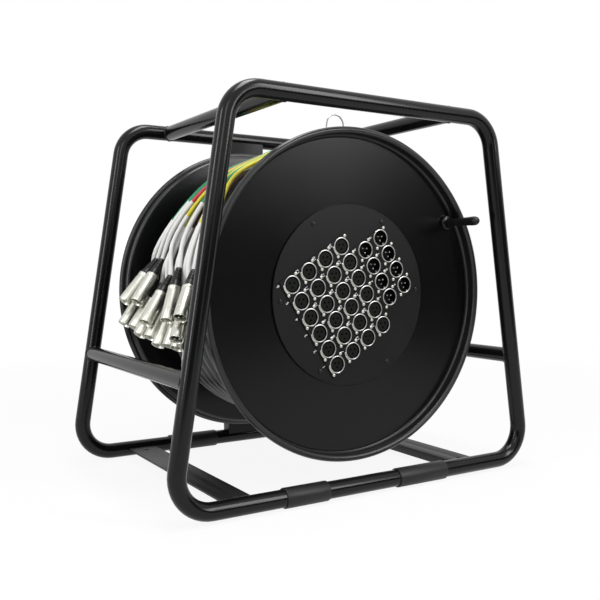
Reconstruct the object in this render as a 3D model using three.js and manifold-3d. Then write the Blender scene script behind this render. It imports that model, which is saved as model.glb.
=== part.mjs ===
// A multicore cable drum. A sheet steel drum turns on a stub axle in a frame of two bent
// steel tubes, carries a wound multicore cable, and ends in a round panel of audio sockets.
// Millimetres. x runs along the front, y from the front to the back, z up.
// The origin lies on the floor under the middle of the frame.

import * as THREE from 'three';
import { mergeVertices } from 'three/addons/utils/BufferGeometryUtils.js';
import Module from 'manifold-3d';

const wasm = await Module();
wasm.setup();

// Clearances
const GAP = 0.3;
const OVERRUN = 4;
const RUNNING_GAP = 0.2;

// Frame: two tube loops, joined by four cross tubes, two base rails and a rear upright
const TUBE_RADIUS = 11.25;
const TUBE_SIDES = 12;
const LOOP_OFFSET = 179.5;
const LOOP_TOP_HALF_WIDTH = 207.35;
const LOOP_BOTTOM_HALF_WIDTH = 285;
const LOOP_RISE = 497.8;
const LOOP_BEND_RADIUS = 45;
const LOOP_BEND_STEPS = 4;
const TOP_CROSS_OFFSET = 134;
const SIDE_CROSS_RADIUS = 11;
const SIDE_CROSS_RISE = 153.5;

// Rubber sleeves round the bottom tubes, on which the frame stands
const SLEEVE_RADIUS = 13;
const SLEEVE_CENTRES = { front_left: -104, front_right: 84, rear_left: -96, rear_right: 96 };
const SLEEVE_LENGTHS = { front_left: 64, front_right: 84, rear_left: 82, rear_right: 82 };

// Base rails of angle section between the bottom tubes
const RAIL_INNER = 166;
const RAIL_WIDTH = 42;
const RAIL_HEIGHT = 12;
const RAIL_THICKNESS = 3;
const RAIL_TOP_ABOVE_TUBE = 2;
const RAIL_HOLE_RADIUS = 3.75;
const RAIL_HOLE_SIDES = 8;
const RAIL_HOLE_FROM_END = 21;

// Rear upright, a channel that carries the stub axle
const UPRIGHT_WIDTH = 66;
const UPRIGHT_DEPTH = 20.5;
const UPRIGHT_THICKNESS = 3;
const UPRIGHT_FRONT = 169.5;

// Stub axle
const AXLE_ABOVE_TUBE = 247.6;
const AXLE_RADIUS = 12.5;
const AXLE_SIDES = 16;
const AXLE_END_RADIUS = 8;
const AXLE_SPACER_RADIUS = 20;
const AXLE_THREAD_RADIUS = 10;
const FRAME_REACH = 195;
const NUT_LENGTH = 13;
const NUT_RADIUS = 17;
const FRONT_NUT_RADIUS = 14;
const FRONT_WASHER_RADIUS = 18;
const FRONT_WASHER_THICKNESS = 2.5;

// Drum: barrel, hub and two flanges with rolled rims
const DRUM_FRONT = -128;
const DRUM_REAR = 142;
const DRUM_SIDES = 36;
const SHEET = 2;
const BARREL_RADIUS = 118;
const BARREL_SIDES = 24;
const BARREL_WEB = 40;
const FLANGE_WALL_RADIUS = 219.5;
const FLANGE_CORNER = 3;
const BEAD_RADIUS = 4.5;
const BEAD_RING_RADIUS = 221.3;
const BEAD_FROM_DISC = 14.5;
const BEAD_DEGREES = [245, 305, 5, 65, 125, 190];
const PANEL_OPENING_RADIUS = 109.5;
const AXLE_OPENING_RADIUS = 24;
const HUB_FRONT = -40;
const HUB_REAR = 130;
const HUB_WALL = 3;
const BUSH_WALL = 2.3;
const BUSH_LENGTH = 22;
const BUSH_FLANGE_RADIUS = 19.5;
const BUSH_FLANGE_THICKNESS = 3;

// Connector panel
const PANEL_RADIUS = 124;
const PANEL_SIDES = 36;
const PANEL_THICKNESS = 3;
const PANEL_TURN = 123.25;
const COLUMNS = 6;
const ROWS = 6;
const FEMALE_ROWS = 4;
const MALE_FIRST_COLUMN = 1;
const MALE_LAST_COLUMN = 4;
const COLUMN_PITCH = 26;
const ROW_PITCH = 31;
const TOP_ROW = 71.4;
const PLATE_WIDTH = 25.4;
const PLATE_HEIGHT = 30.4;
const PLATE_THICKNESS = 1.6;
const SOCKET_RADIUS = 9.6;
const SOCKET_DEPTH = 9;
const SOCKET_SIDES = 10;
const HOUSING_RADIUS = 12;
const HOUSING_SIDES = 6;
const HOUSING_DEPTH = 16;
const INSERT_RADIUS = 7.4;
const INSERT_BELOW_PLATE = 1.5;
const INSERT_SIDES = 6;
const CONTACT_CIRCLE_RADIUS = 3.9;
const PIN_RADIUS = 1.3;
const PIN_BELOW_PLATE = 2;
const PIN_SIDES = 4;
const PIN_DEGREES = [30, 150, 270];

// Push latches of the female sockets
const LATCH_INNER_RADIUS = 11.9;
const LATCH_OUTER_RADIUS = 14.2;
const LATCH_HALF_SPREAD = 28;
const LATCH_THICKNESS = 2.2;
const LATCH_PROUD = 0.8;
const LATCH_POCKET_DEPTH = 3.6;
const LATCH_STEPS = 2;

// Crank peg on the front flange
const CRANK_X = 174.4;
const CRANK_Z = 103.4;
const CRANK_SIDES = 12;
const BOSS_RADIUS = 11.5;
const BOSS_HEIGHT = 6;
const BOSS_CHAMFER = 2;
const CRANK_PIN_RADIUS = 3.5;
const GRIP_BASE_RADIUS = 5.5;
const GRIP_TIP_RADIUS = 6.5;
const GRIP_BORE_RADIUS = 3.9;
const GRIP_CAP_LENGTH = 6.5;
const GRIP_CAP_DEGREES = [30, 60];

// Wire eye behind the front flange
const EYE_WIRE_RADIUS = 1;
const EYE_WIRE_SIDES = 6;
const EYE_BEND_STEPS = 8;
const EYE_CENTRE_X = -23.2;
const EYE_HALF_WIDTH = 13.6;
const EYE_BELOW_RIM = 19.5;
const EYE_RISE = 43.4;

// Multicore cable wound on the drum
const CABLE_RADIUS = 10.5;
const CABLE_SIDES = 6;
const STEPS_PER_TURN = 24;
const WOUND_RADIUS = 178.9;
const WINDING_PITCH = 21.6;
const FULL_TURNS = 9;
const CLIMB_START = -110;
const CLIMB_END = -50;
const CROSSING_END = 45;
const GLAND_ANGLE = 60;
const RAMP_SPREAD = 28;

// Breakout boot at the end of the multicore, where the tails start
const GLAND_RADIUS = 15;
const GLAND_NECK_RADIUS = 13;
const GLAND_NECK_LENGTH = 14;
const GLAND_LENGTH = 60;
const GLAND_EDGE = 2;
const GLAND_Y = 10;
const GLAND_SIDES = 16;

// Tails and their plugs
const TAIL_RADIUS = 2.9;
const TAIL_SIDES = 8;
const TAIL_STEPS = 10;
const TAIL_SLOT = 4;
const TAIL_QUADRANT = 6.2;
const TAIL_LEAD = 10;
const PLUG_RADIUS = 9.1;
const PLUG_SIDES = 8;
const PLUG_MOUTH_RADIUS = 7.6;
const PLUG_MOUTH_DEPTH = 11;
const BOOT_TIP_RADIUS = 4.2;
const BOOT_LENGTH = 29;
const TAIL_IN_BOOT = 5;

// Colours
const BLACK_PAINT = 0x191a1c;
const BLACK_RUBBER = 0x141414;
const BLACK_PLASTIC = 0x1c1c1d;
const ZINC = 0xb9bcc0;
const BRONZE = 0x9a7440;
const NICKEL = 0xc9c8c2;
const CABLE_GREY = 0x3a3b3d;
const TAIL_GREEN = 0x2f8f57;
const TAIL_YELLOW = 0xd8c53a;
const TAIL_RED = 0xc23b40;
const TAIL_GREY = 0xb8b8b4;

const tubeHeight = SLEEVE_RADIUS;
const axleHeight = tubeHeight + AXLE_ABOVE_TUBE;
const tubeFlat = TUBE_RADIUS * Math.cos(Math.PI / TUBE_SIDES);

// Meshes and solids

function indexedFaces(geometry) {
  const { array } = geometry.index;
  const faces = [];
  for (let i = 0; i < array.length; i += 3) {
    const [a, b, c] = array.slice(i, i + 3);
    if (a !== b && b !== c && c !== a) faces.push([a, b, c]);
  }
  return faces;
}

function signedVolume(corners, faces) {
  const [p, q, r] = [new THREE.Vector3(), new THREE.Vector3(), new THREE.Vector3()];
  let sum = 0;
  for (const [a, b, c] of faces) {
    p.fromArray(corners, a * 3);
    q.fromArray(corners, b * 3);
    r.fromArray(corners, c * 3);
    sum += p.dot(q.cross(r));
  }
  return sum;
}

// A closed geometry as a solid, with its faces turned outwards.
function solid(geometry) {
  geometry.deleteAttribute('normal');
  geometry.deleteAttribute('uv');
  const merged = mergeVertices(geometry);
  const corners = Float32Array.from(merged.attributes.position.array);
  const faces = indexedFaces(merged);
  if (signedVolume(corners, faces) < 0) faces.forEach((face) => face.reverse());
  const triVerts = Uint32Array.from(faces.flat());
  return new wasm.Manifold(new wasm.Mesh({ numProp: 3, vertProperties: corners, triVerts }));
}

function join(solids) {
  return solids.reduce((sum, next) => sum.add(next));
}

function cut(body, cutters) {
  return cutters.reduce((rest, cutter) => rest.subtract(cutter), body);
}

function meshOf(name, body, color, roughness, metalness) {
  const { vertProperties, triVerts } = body.getMesh();
  const geometry = new THREE.BufferGeometry();
  geometry.setAttribute('position', new THREE.BufferAttribute(vertProperties, 3));
  geometry.setIndex(new THREE.BufferAttribute(triVerts, 1));
  geometry.computeVertexNormals();
  const material = new THREE.MeshStandardMaterial({ color, roughness, metalness });
  const mesh = new THREE.Mesh(geometry, material);
  mesh.name = name;
  return mesh;
}

const painted = (name, body) => meshOf(name, body, BLACK_PAINT, 0.45, 0.3);
const rubber = (name, body) => meshOf(name, body, BLACK_RUBBER, 0.8, 0);
const zinc = (name, body) => meshOf(name, body, ZINC, 0.35, 0.9);

// Rings of points, joined one to the next into a closed body.
function loft(rings, isLoop) {
  const sides = rings[0].length;
  const positions = rings.flat().flatMap((point) => point.toArray());
  const index = [];
  const joints = isLoop ? rings.length : rings.length - 1;
  for (let i = 0; i < joints; i += 1) {
    const here = i * sides;
    const there = ((i + 1) % rings.length) * sides;
    for (let k = 0; k < sides; k += 1) {
      const next = (k + 1) % sides;
      index.push(here + k, there + k, there + next, here + k, there + next, here + next);
    }
  }
  if (!isLoop) {
    const last = (rings.length - 1) * sides;
    for (let k = 1; k < sides - 1; k += 1) {
      index.push(0, k, k + 1, last, last + k + 1, last + k);
    }
  }
  const geometry = new THREE.BufferGeometry();
  geometry.setAttribute('position', new THREE.Float32BufferAttribute(positions, 3));
  geometry.setIndex(index);
  return geometry;
}

// A ring of points round a centre; the first axis points at the first corner before the turn.
function ringOf(centre, axisU, axisV, radius, sides, turnShare = 0) {
  const points = [];
  for (let k = 0; k < sides; k += 1) {
    const angle = ((k + turnShare) / sides) * 2 * Math.PI;
    const point = centre.clone();
    point.addScaledVector(axisU, radius * Math.cos(angle));
    point.addScaledVector(axisV, radius * Math.sin(angle));
    points.push(point);
  }
  return points;
}

// A turned piece round the y axis, from profile points [radius, y].
function turned(profile, sides, phase = 0) {
  const points = profile.map(([radius, y]) => new THREE.Vector2(radius, y));
  return new THREE.LatheGeometry(points, sides, phase);
}

// A turned ring: its profile closes on itself.
function turnedRing(profile, sides, phase = 0) {
  return turned([...profile, profile[0]], sides, phase);
}

// An outline in x and z, extruded along y.
function slabAlongY(shape, from, to) {
  const geometry = new THREE.ExtrudeGeometry(shape, { depth: to - from, bevelEnabled: false });
  return geometry.rotateX(Math.PI / 2).translate(0, to, 0);
}

// A round bar along y.
function barAlongY(radius, from, to, sides, phase = 0) {
  const geometry = new THREE.CylinderGeometry(radius, radius, to - from, sides);
  return geometry.rotateY(phase).translate(0, (from + to) / 2, 0);
}

// A piece turned round y, swung so that its y axis lies along a direction.
function pointedAlong(geometry, direction) {
  const up = new THREE.Vector3(0, 1, 0);
  return geometry.applyQuaternion(new THREE.Quaternion().setFromUnitVectors(up, direction));
}

function shapeOf(points) {
  return new THREE.Shape(points.map(([x, z]) => new THREE.Vector2(x, z)));
}

// Frame

// The centreline of a loop: the corners of its outline, each rounded by the bend.
function loopStations() {
  const corners = [
    new THREE.Vector2(-LOOP_BOTTOM_HALF_WIDTH, 0),
    new THREE.Vector2(LOOP_BOTTOM_HALF_WIDTH, 0),
    new THREE.Vector2(LOOP_TOP_HALF_WIDTH, LOOP_RISE),
    new THREE.Vector2(-LOOP_TOP_HALF_WIDTH, LOOP_RISE),
  ];
  const stations = [];
  corners.forEach((corner, i) => {
    const before = corners.at(i - 1);
    const after = corners[(i + 1) % corners.length];
    const inward = corner.clone().sub(before).normalize();
    const outward = after.clone().sub(corner).normalize();
    const turn = Math.acos(inward.dot(outward));
    const setBack = LOOP_BEND_RADIUS * Math.tan(turn / 2);
    const centre = corner.clone().addScaledVector(inward, -setBack);
    centre.add(new THREE.Vector2(-inward.y, inward.x).multiplyScalar(LOOP_BEND_RADIUS));
    for (let k = 0; k <= LOOP_BEND_STEPS; k += 1) {
      const angle = Math.atan2(inward.y, inward.x) + (turn * k) / LOOP_BEND_STEPS;
      const normal = new THREE.Vector2(-Math.sin(angle), Math.cos(angle));
      const point = centre.clone().addScaledVector(normal, -LOOP_BEND_RADIUS);
      stations.push({ point, normal });
    }
  });
  return stations;
}

function loopSolid(y, radius) {
  const across = new THREE.Vector3(0, 1, 0);
  const rings = loopStations().map(({ point, normal }) => {
    const centre = new THREE.Vector3(point.x, y, tubeHeight + point.y);
    const inPlane = new THREE.Vector3(normal.x, 0, normal.y);
    return ringOf(centre, inPlane, across, radius, TUBE_SIDES, 0.5);
  });
  return solid(loft(rings, true));
}

const loopClearances = [-LOOP_OFFSET, LOOP_OFFSET].map((y) => loopSolid(y, TUBE_RADIUS + GAP));

function crossTube(radius, x, z) {
  const bar = barAlongY(radius, -LOOP_OFFSET, LOOP_OFFSET, TUBE_SIDES, Math.PI / TUBE_SIDES);
  return cut(solid(bar.translate(x, 0, z)), loopClearances);
}

function sideCrossX() {
  const lean = (LOOP_BOTTOM_HALF_WIDTH - LOOP_TOP_HALF_WIDTH) / LOOP_RISE;
  return LOOP_BOTTOM_HALF_WIDTH - SIDE_CROSS_RISE * lean;
}

function baseRail(side) {
  const top = tubeHeight + RAIL_TOP_ABOVE_TUBE;
  const outer = RAIL_INNER + RAIL_WIDTH;
  const outline = [
    [RAIL_INNER, top],
    [RAIL_INNER, top - RAIL_HEIGHT],
    [RAIL_INNER + RAIL_THICKNESS, top - RAIL_HEIGHT],
    [RAIL_INNER + RAIL_THICKNESS, top - RAIL_THICKNESS],
    [outer, top - RAIL_THICKNESS],
    [outer, top],
  ];
  const end = LOOP_OFFSET - tubeFlat - GAP;
  const shape = shapeOf(outline.map(([x, z]) => [side * x, z]));
  const rail = solid(slabAlongY(shape, -end, end));
  const holes = [-1, 1].map((way) => {
    const depth = RAIL_THICKNESS + 2 * OVERRUN;
    const radius = RAIL_HOLE_RADIUS;
    const hole = new THREE.CylinderGeometry(radius, radius, depth, RAIL_HOLE_SIDES);
    const x = side * (RAIL_INNER + RAIL_WIDTH / 2);
    hole.rotateX(Math.PI / 2);
    return solid(hole.translate(x, way * (end - RAIL_HOLE_FROM_END), top - RAIL_THICKNESS / 2));
  });
  return cut(rail, holes);
}

function footSleeve(y, centre, length) {
  const outer = SLEEVE_RADIUS / Math.cos(Math.PI / TUBE_SIDES);
  const inner = TUBE_RADIUS + GAP;
  const half = length / 2;
  const profile = [[inner, -half], [outer, -half], [outer, half], [inner, half]];
  const sleeve = turnedRing(profile, TUBE_SIDES, Math.PI / TUBE_SIDES).rotateZ(Math.PI / 2);
  return solid(sleeve.translate(centre, y, tubeHeight));
}

function rearUpright() {
  const half = UPRIGHT_WIDTH / 2;
  const rear = UPRIGHT_FRONT + UPRIGHT_DEPTH;
  const webRear = UPRIGHT_FRONT + UPRIGHT_THICKNESS;
  const shape = shapeOf([
    [-half, UPRIGHT_FRONT],
    [half, UPRIGHT_FRONT],
    [half, rear],
    [half - UPRIGHT_THICKNESS, rear],
    [half - UPRIGHT_THICKNESS, webRear],
    [UPRIGHT_THICKNESS - half, webRear],
    [UPRIGHT_THICKNESS - half, rear],
    [-half, rear],
  ]);
  const channel = new THREE.ExtrudeGeometry(shape, { depth: LOOP_RISE, bevelEnabled: false });
  const holeRadius = AXLE_THREAD_RADIUS + GAP;
  const hole = barAlongY(holeRadius, UPRIGHT_FRONT - OVERRUN, webRear + OVERRUN, AXLE_SIDES);
  return cut(solid(channel.translate(0, 0, tubeHeight)), [
    ...loopClearances,
    solid(hole.translate(0, 0, axleHeight)),
  ]);
}

// Stub axle, in the drum's own frame: y along the axle

const bushFrontFace = HUB_FRONT - GAP - BUSH_FLANGE_THICKNESS;
const bushRearFace = HUB_REAR + GAP + BUSH_FLANGE_THICKNESS;
const frontNutFace = bushFrontFace - GAP;

function axle() {
  const profile = [
    [0, frontNutFace - FRONT_WASHER_THICKNESS - NUT_LENGTH - GAP],
    [AXLE_END_RADIUS, frontNutFace - FRONT_WASHER_THICKNESS - NUT_LENGTH - GAP],
    [AXLE_END_RADIUS, bushFrontFace],
    [AXLE_RADIUS, bushFrontFace],
    [AXLE_RADIUS, bushRearFace + GAP],
    [AXLE_SPACER_RADIUS, bushRearFace + GAP],
    [AXLE_SPACER_RADIUS, UPRIGHT_FRONT - GAP],
    [AXLE_THREAD_RADIUS, UPRIGHT_FRONT - GAP],
    [AXLE_THREAD_RADIUS, FRAME_REACH],
    [0, FRAME_REACH],
  ];
  return solid(turned(profile, AXLE_SIDES));
}

function hexNut(radius, bore, from, to) {
  const hexagon = solid(barAlongY(radius, from, to, 6));
  return cut(hexagon, [solid(barAlongY(bore, from - OVERRUN, to + OVERRUN, AXLE_SIDES))]);
}

function rearNut() {
  const from = UPRIGHT_FRONT + UPRIGHT_THICKNESS + GAP;
  return hexNut(NUT_RADIUS, AXLE_THREAD_RADIUS + GAP, from, from + NUT_LENGTH);
}

function frontNut() {
  const bore = AXLE_END_RADIUS + GAP;
  const washerFront = frontNutFace - FRONT_WASHER_THICKNESS;
  const nutFront = washerFront - NUT_LENGTH;
  const nutShape = solid(barAlongY(FRONT_NUT_RADIUS, nutFront, frontNutFace, 6));
  const washer = barAlongY(FRONT_WASHER_RADIUS, washerFront, frontNutFace, AXLE_SIDES);
  const hole = barAlongY(bore, nutFront - OVERRUN, frontNutFace + OVERRUN, AXLE_SIDES);
  return cut(nutShape.add(solid(washer)), [solid(hole)]);
}

// Drum

function coreBarrel() {
  const front = DRUM_FRONT + GAP;
  const rear = DRUM_REAR - GAP;
  const inner = BARREL_RADIUS - SHEET;
  const hubInner = AXLE_RADIUS + RUNNING_GAP + BUSH_WALL + GAP;
  const hubOuter = hubInner + HUB_WALL;
  const webRear = BARREL_WEB + SHEET;
  return solid(turnedRing([
    [BARREL_RADIUS, front], [BARREL_RADIUS, rear], [inner, rear], [inner, webRear],
    [hubOuter, webRear], [hubOuter, HUB_REAR], [hubInner, HUB_REAR], [hubInner, HUB_FRONT],
    [hubOuter, HUB_FRONT], [hubOuter, BARREL_WEB], [inner, BARREL_WEB], [inner, front],
  ], BARREL_SIDES));
}

// A flanged bush at a hub end; way is -1 at the front and 1 at the rear.
function bush(hubEnd, way) {
  const bore = (AXLE_RADIUS + RUNNING_GAP) / Math.cos(Math.PI / AXLE_SIDES);
  const outer = AXLE_RADIUS + RUNNING_GAP + BUSH_WALL;
  const seat = hubEnd + way * GAP;
  const face = seat + way * BUSH_FLANGE_THICKNESS;
  const tail = hubEnd - way * BUSH_LENGTH;
  return solid(turnedRing([
    [bore, tail], [outer, tail], [outer, seat],
    [BUSH_FLANGE_RADIUS, seat], [BUSH_FLANGE_RADIUS, face], [bore, face],
  ], AXLE_SIDES));
}

// A pressed disc with a turned-up wall and a rolled bead; way points away from the winding.
function flange(discInside, way, openingRadius) {
  const at = (depth) => discInside + way * depth;
  const wallInside = FLANGE_WALL_RADIUS - SHEET;
  const bead = [];
  for (const degrees of BEAD_DEGREES) {
    const angle = THREE.MathUtils.degToRad(degrees);
    const depth = BEAD_FROM_DISC + BEAD_RADIUS * Math.sin(angle);
    bead.push([BEAD_RING_RADIUS + BEAD_RADIUS * Math.cos(angle), at(depth)]);
  }
  return solid(turnedRing([
    [openingRadius, at(0)],
    [FLANGE_WALL_RADIUS - FLANGE_CORNER, at(0)],
    [FLANGE_WALL_RADIUS, at(FLANGE_CORNER)],
    ...bead,
    [wallInside, at(FLANGE_CORNER + SHEET)],
    [wallInside - FLANGE_CORNER, at(SHEET)],
    [openingRadius, at(SHEET)],
  ], DRUM_SIDES));
}

// Connector panel, in its own frame: sockets upright, front towards -y, y = 0 at its rear

const plateFront = -PANEL_THICKNESS - PLATE_THICKNESS;
const socketFloor = plateFront + SOCKET_DEPTH;

function socketPlaces() {
  const places = [];
  for (let row = 0; row < ROWS; row += 1) {
    const isFemale = row < FEMALE_ROWS;
    const first = isFemale ? 0 : MALE_FIRST_COLUMN;
    const last = isFemale ? COLUMNS - 1 : MALE_LAST_COLUMN;
    for (let column = first; column <= last; column += 1) {
      const x = (column - (COLUMNS - 1) / 2) * COLUMN_PITCH;
      places.push({ x, z: TOP_ROW - row * ROW_PITCH, isFemale });
    }
  }
  return places;
}

function plateShape() {
  const [w, h] = [PLATE_WIDTH / 2, PLATE_HEIGHT / 2];
  return shapeOf([[-w, -h], [w, -h], [w, h], [-w, h]]);
}

// A sector of a ring round the socket's centre, on its upper side.
function sectorShape(inner, outer, halfSpread) {
  const arc = (radius, way) => {
    const points = [];
    for (let k = -LATCH_STEPS; k <= LATCH_STEPS; k += 2) {
      const angle = THREE.MathUtils.degToRad(90 + (way * halfSpread * k) / LATCH_STEPS);
      points.push([radius * Math.cos(angle), radius * Math.sin(angle)]);
    }
    return points;
  };
  return shapeOf([...arc(outer, 1), ...arc(inner, -1)]);
}

// The three pins of a male socket, two above and one below.
function malePins() {
  return PIN_DEGREES.map((degrees) => {
    const angle = THREE.MathUtils.degToRad(degrees);
    const [from, to] = [plateFront + PIN_BELOW_PLATE, socketFloor + GAP];
    const pin = barAlongY(PIN_RADIUS, from, to, PIN_SIDES, Math.PI / PIN_SIDES);
    const [x, z] = [Math.cos(angle), Math.sin(angle)];
    return pin.translate(CONTACT_CIRCLE_RADIUS * x, 0, CONTACT_CIRCLE_RADIUS * z);
  });
}

function socketPlate() {
  return slabAlongY(plateShape(), plateFront, -PANEL_THICKNESS / 2);
}

function socketHousing() {
  const [from, to] = [-PANEL_THICKNESS / 2, HOUSING_DEPTH];
  return barAlongY(HOUSING_RADIUS, from, to, HOUSING_SIDES, Math.PI / HOUSING_SIDES);
}

function socketBore() {
  return barAlongY(SOCKET_RADIUS, plateFront - OVERRUN, socketFloor, SOCKET_SIDES);
}

function latchPocket() {
  const spread = LATCH_HALF_SPREAD + THREE.MathUtils.radToDeg(GAP / LATCH_INNER_RADIUS);
  const shape = sectorShape(LATCH_INNER_RADIUS - GAP, LATCH_OUTER_RADIUS + GAP, spread);
  return slabAlongY(shape, plateFront - OVERRUN, plateFront + LATCH_POCKET_DEPTH);
}

// The block of a female socket that holds its contacts.
function femaleInsert() {
  const face = plateFront + INSERT_BELOW_PLATE;
  return barAlongY(INSERT_RADIUS, face, socketFloor + GAP, INSERT_SIDES, Math.PI / INSERT_SIDES);
}

// Copies of some pieces of a socket, at each of its places on the panel.
function placed(pieces, places) {
  return places.flatMap(({ x, z }) => {
    return pieces.map((piece) => solid(piece.clone().translate(x, 0, z)));
  });
}

function connectorPanel() {
  const disc = solid(barAlongY(PANEL_RADIUS, -PANEL_THICKNESS, 0, PANEL_SIDES));
  const places = socketPlaces();
  const females = places.filter(({ isFemale }) => isFemale);
  const males = places.filter(({ isFemale }) => !isFemale);
  const bodies = join([disc, ...placed([socketPlate(), socketHousing()], places)]);
  const bored = cut(bodies, [
    ...placed([socketBore()], places),
    ...placed([latchPocket()], females),
  ]);
  return join([bored, ...placed([femaleInsert()], females), ...placed(malePins(), males)]);
}

function latchTab() {
  const shape = sectorShape(LATCH_INNER_RADIUS, LATCH_OUTER_RADIUS, LATCH_HALF_SPREAD);
  const front = plateFront - LATCH_PROUD;
  return solid(slabAlongY(shape, front, front + LATCH_THICKNESS));
}

// Crank, in the frame of its own pin

const discFront = DRUM_FRONT - SHEET;
const bossFront = discFront - GAP - BOSS_HEIGHT;
const pinEnd = -FRAME_REACH + GRIP_CAP_LENGTH + GAP;

function crankBoss() {
  return solid(turned([
    [0, discFront - GAP],
    [BOSS_RADIUS, discFront - GAP],
    [BOSS_RADIUS, bossFront + BOSS_CHAMFER],
    [BOSS_RADIUS - BOSS_CHAMFER, bossFront],
    [CRANK_PIN_RADIUS, bossFront],
    [CRANK_PIN_RADIUS, pinEnd],
    [0, pinEnd],
  ], CRANK_SIDES));
}

function crankGrip() {
  const boreEnd = pinEnd - GAP;
  const shoulder = -FRAME_REACH + GRIP_CAP_LENGTH;
  const cap = GRIP_CAP_DEGREES.map((degrees) => {
    const angle = THREE.MathUtils.degToRad(degrees);
    const y = shoulder - GRIP_CAP_LENGTH * Math.sin(angle);
    return [GRIP_TIP_RADIUS * Math.cos(angle), y];
  });
  return solid(turned([
    [0, boreEnd],
    [GRIP_BORE_RADIUS, boreEnd],
    [GRIP_BORE_RADIUS, bossFront - GAP],
    [GRIP_BASE_RADIUS, bossFront - GAP],
    [GRIP_TIP_RADIUS, shoulder],
    ...cap,
    [0, -FRAME_REACH],
  ], CRANK_SIDES));
}

// Wire eye

// A curve that takes its steps at given points.
class Route extends THREE.Curve {
  constructor(points) {
    super();
    this.points = points;
  }

  getPoint(t, target = new THREE.Vector3()) {
    const place = THREE.MathUtils.clamp(t, 0, 1) * (this.points.length - 1);
    const i = Math.min(Math.floor(place), this.points.length - 2);
    return target.lerpVectors(this.points[i], this.points[i + 1], place - i);
  }

  getUtoTmapping(u) {
    return u;
  }
}

function discShape(radius, sides) {
  const shape = new THREE.Shape();
  for (let k = 0; k < sides; k += 1) {
    const angle = ((k + 0.5) / sides) * 2 * Math.PI;
    const [x, y] = [radius * Math.cos(angle), radius * Math.sin(angle)];
    if (k === 0) shape.moveTo(x, y);
    else shape.lineTo(x, y);
  }
  return shape;
}

function tubeAlong(curve, steps, radius, sides) {
  const settings = { steps, bevelEnabled: false, extrudePath: curve };
  return new THREE.ExtrudeGeometry(discShape(radius, sides), settings);
}

function wireEye() {
  const y = DRUM_FRONT + GAP + EYE_WIRE_RADIUS;
  const foot = FLANGE_WALL_RADIUS - EYE_BELOW_RIM;
  const bendCentre = foot + EYE_RISE - EYE_WIRE_RADIUS - EYE_HALF_WIDTH;
  const points = [new THREE.Vector3(EYE_CENTRE_X - EYE_HALF_WIDTH, y, foot)];
  for (let k = 0; k <= EYE_BEND_STEPS; k += 1) {
    const angle = Math.PI - (Math.PI * k) / EYE_BEND_STEPS;
    const x = EYE_CENTRE_X + EYE_HALF_WIDTH * Math.cos(angle);
    points.push(new THREE.Vector3(x, y, bendCentre + EYE_HALF_WIDTH * Math.sin(angle)));
  }
  points.push(new THREE.Vector3(EYE_CENTRE_X + EYE_HALF_WIDTH, y, foot));
  return solid(tubeAlong(new Route(points), points.length - 1, EYE_WIRE_RADIUS, EYE_WIRE_SIDES));
}

// Winding

const ridingRadius = WOUND_RADIUS + CABLE_RADIUS + GAP + GLAND_RADIUS;
const coreRadius = WOUND_RADIUS - CABLE_RADIUS - GAP;
const firstTurnY = DRUM_FRONT + CABLE_RADIUS + 2 * GAP;

// The centre of the cable after a number of degrees, seen from the front, anticlockwise.
function woundPoint(degrees) {
  const last = (FULL_TURNS - 1) * 360;
  const climbed = [CLIMB_START + 360, CLIMB_END + 360].map((angle) => last + angle);
  const rise = THREE.MathUtils.smoothstep(degrees, ...climbed);
  const radius = THREE.MathUtils.lerp(WOUND_RADIUS, ridingRadius, rise);
  const windingY = firstTurnY + (WINDING_PITCH * Math.min(degrees, climbed[1])) / 360;
  const crossing = THREE.MathUtils.smoothstep(degrees, climbed[1], FULL_TURNS * 360 + CROSSING_END);
  const y = THREE.MathUtils.lerp(windingY, GLAND_Y, crossing);
  const angle = THREE.MathUtils.degToRad(degrees);
  return new THREE.Vector3(radius * Math.cos(angle), y, radius * Math.sin(angle));
}

const glandAngle = THREE.MathUtils.degToRad(GLAND_ANGLE);
const glandOutward = new THREE.Vector3(Math.cos(glandAngle), 0, Math.sin(glandAngle));
const glandForward = new THREE.Vector3(-Math.sin(glandAngle), 0, Math.cos(glandAngle));
const straightEnd = 2 * CABLE_RADIUS;

function windingCentres() {
  const centres = [woundPoint(0).add(new THREE.Vector3(0, 0, -straightEnd))];
  const steps = Math.round((FULL_TURNS + GLAND_ANGLE / 360) * STEPS_PER_TURN);
  for (let step = 0; step <= steps; step += 1) {
    centres.push(woundPoint((step * 360) / STEPS_PER_TURN));
  }
  centres.push(centres.at(-1).clone().addScaledVector(glandForward, straightEnd));
  return centres;
}

function leastGap(centres) {
  let least = Infinity;
  for (let i = 0; i < centres.length; i += 1) {
    for (let k = i + STEPS_PER_TURN / 2; k < centres.length; k += 1) {
      least = Math.min(least, centres[i].distanceTo(centres[k]));
    }
  }
  return least - 2 * CABLE_RADIUS;
}

function windingTube(centres) {
  const rings = centres.map((centre, i) => {
    const before = centres[Math.max(i - 1, 0)];
    const after = centres[Math.min(i + 1, centres.length - 1)];
    const along = after.clone().sub(before).normalize();
    if (i === 1) along.set(0, 0, 1);
    if (i === centres.length - 2) along.copy(glandForward);
    const across = new THREE.Vector3(0, 1, 0);
    across.addScaledVector(along, -across.dot(along)).normalize();
    const outward = new THREE.Vector3().crossVectors(along, across);
    return ringOf(centre, across, outward, CABLE_RADIUS, CABLE_SIDES);
  });
  return solid(loft(rings, false));
}

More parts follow.
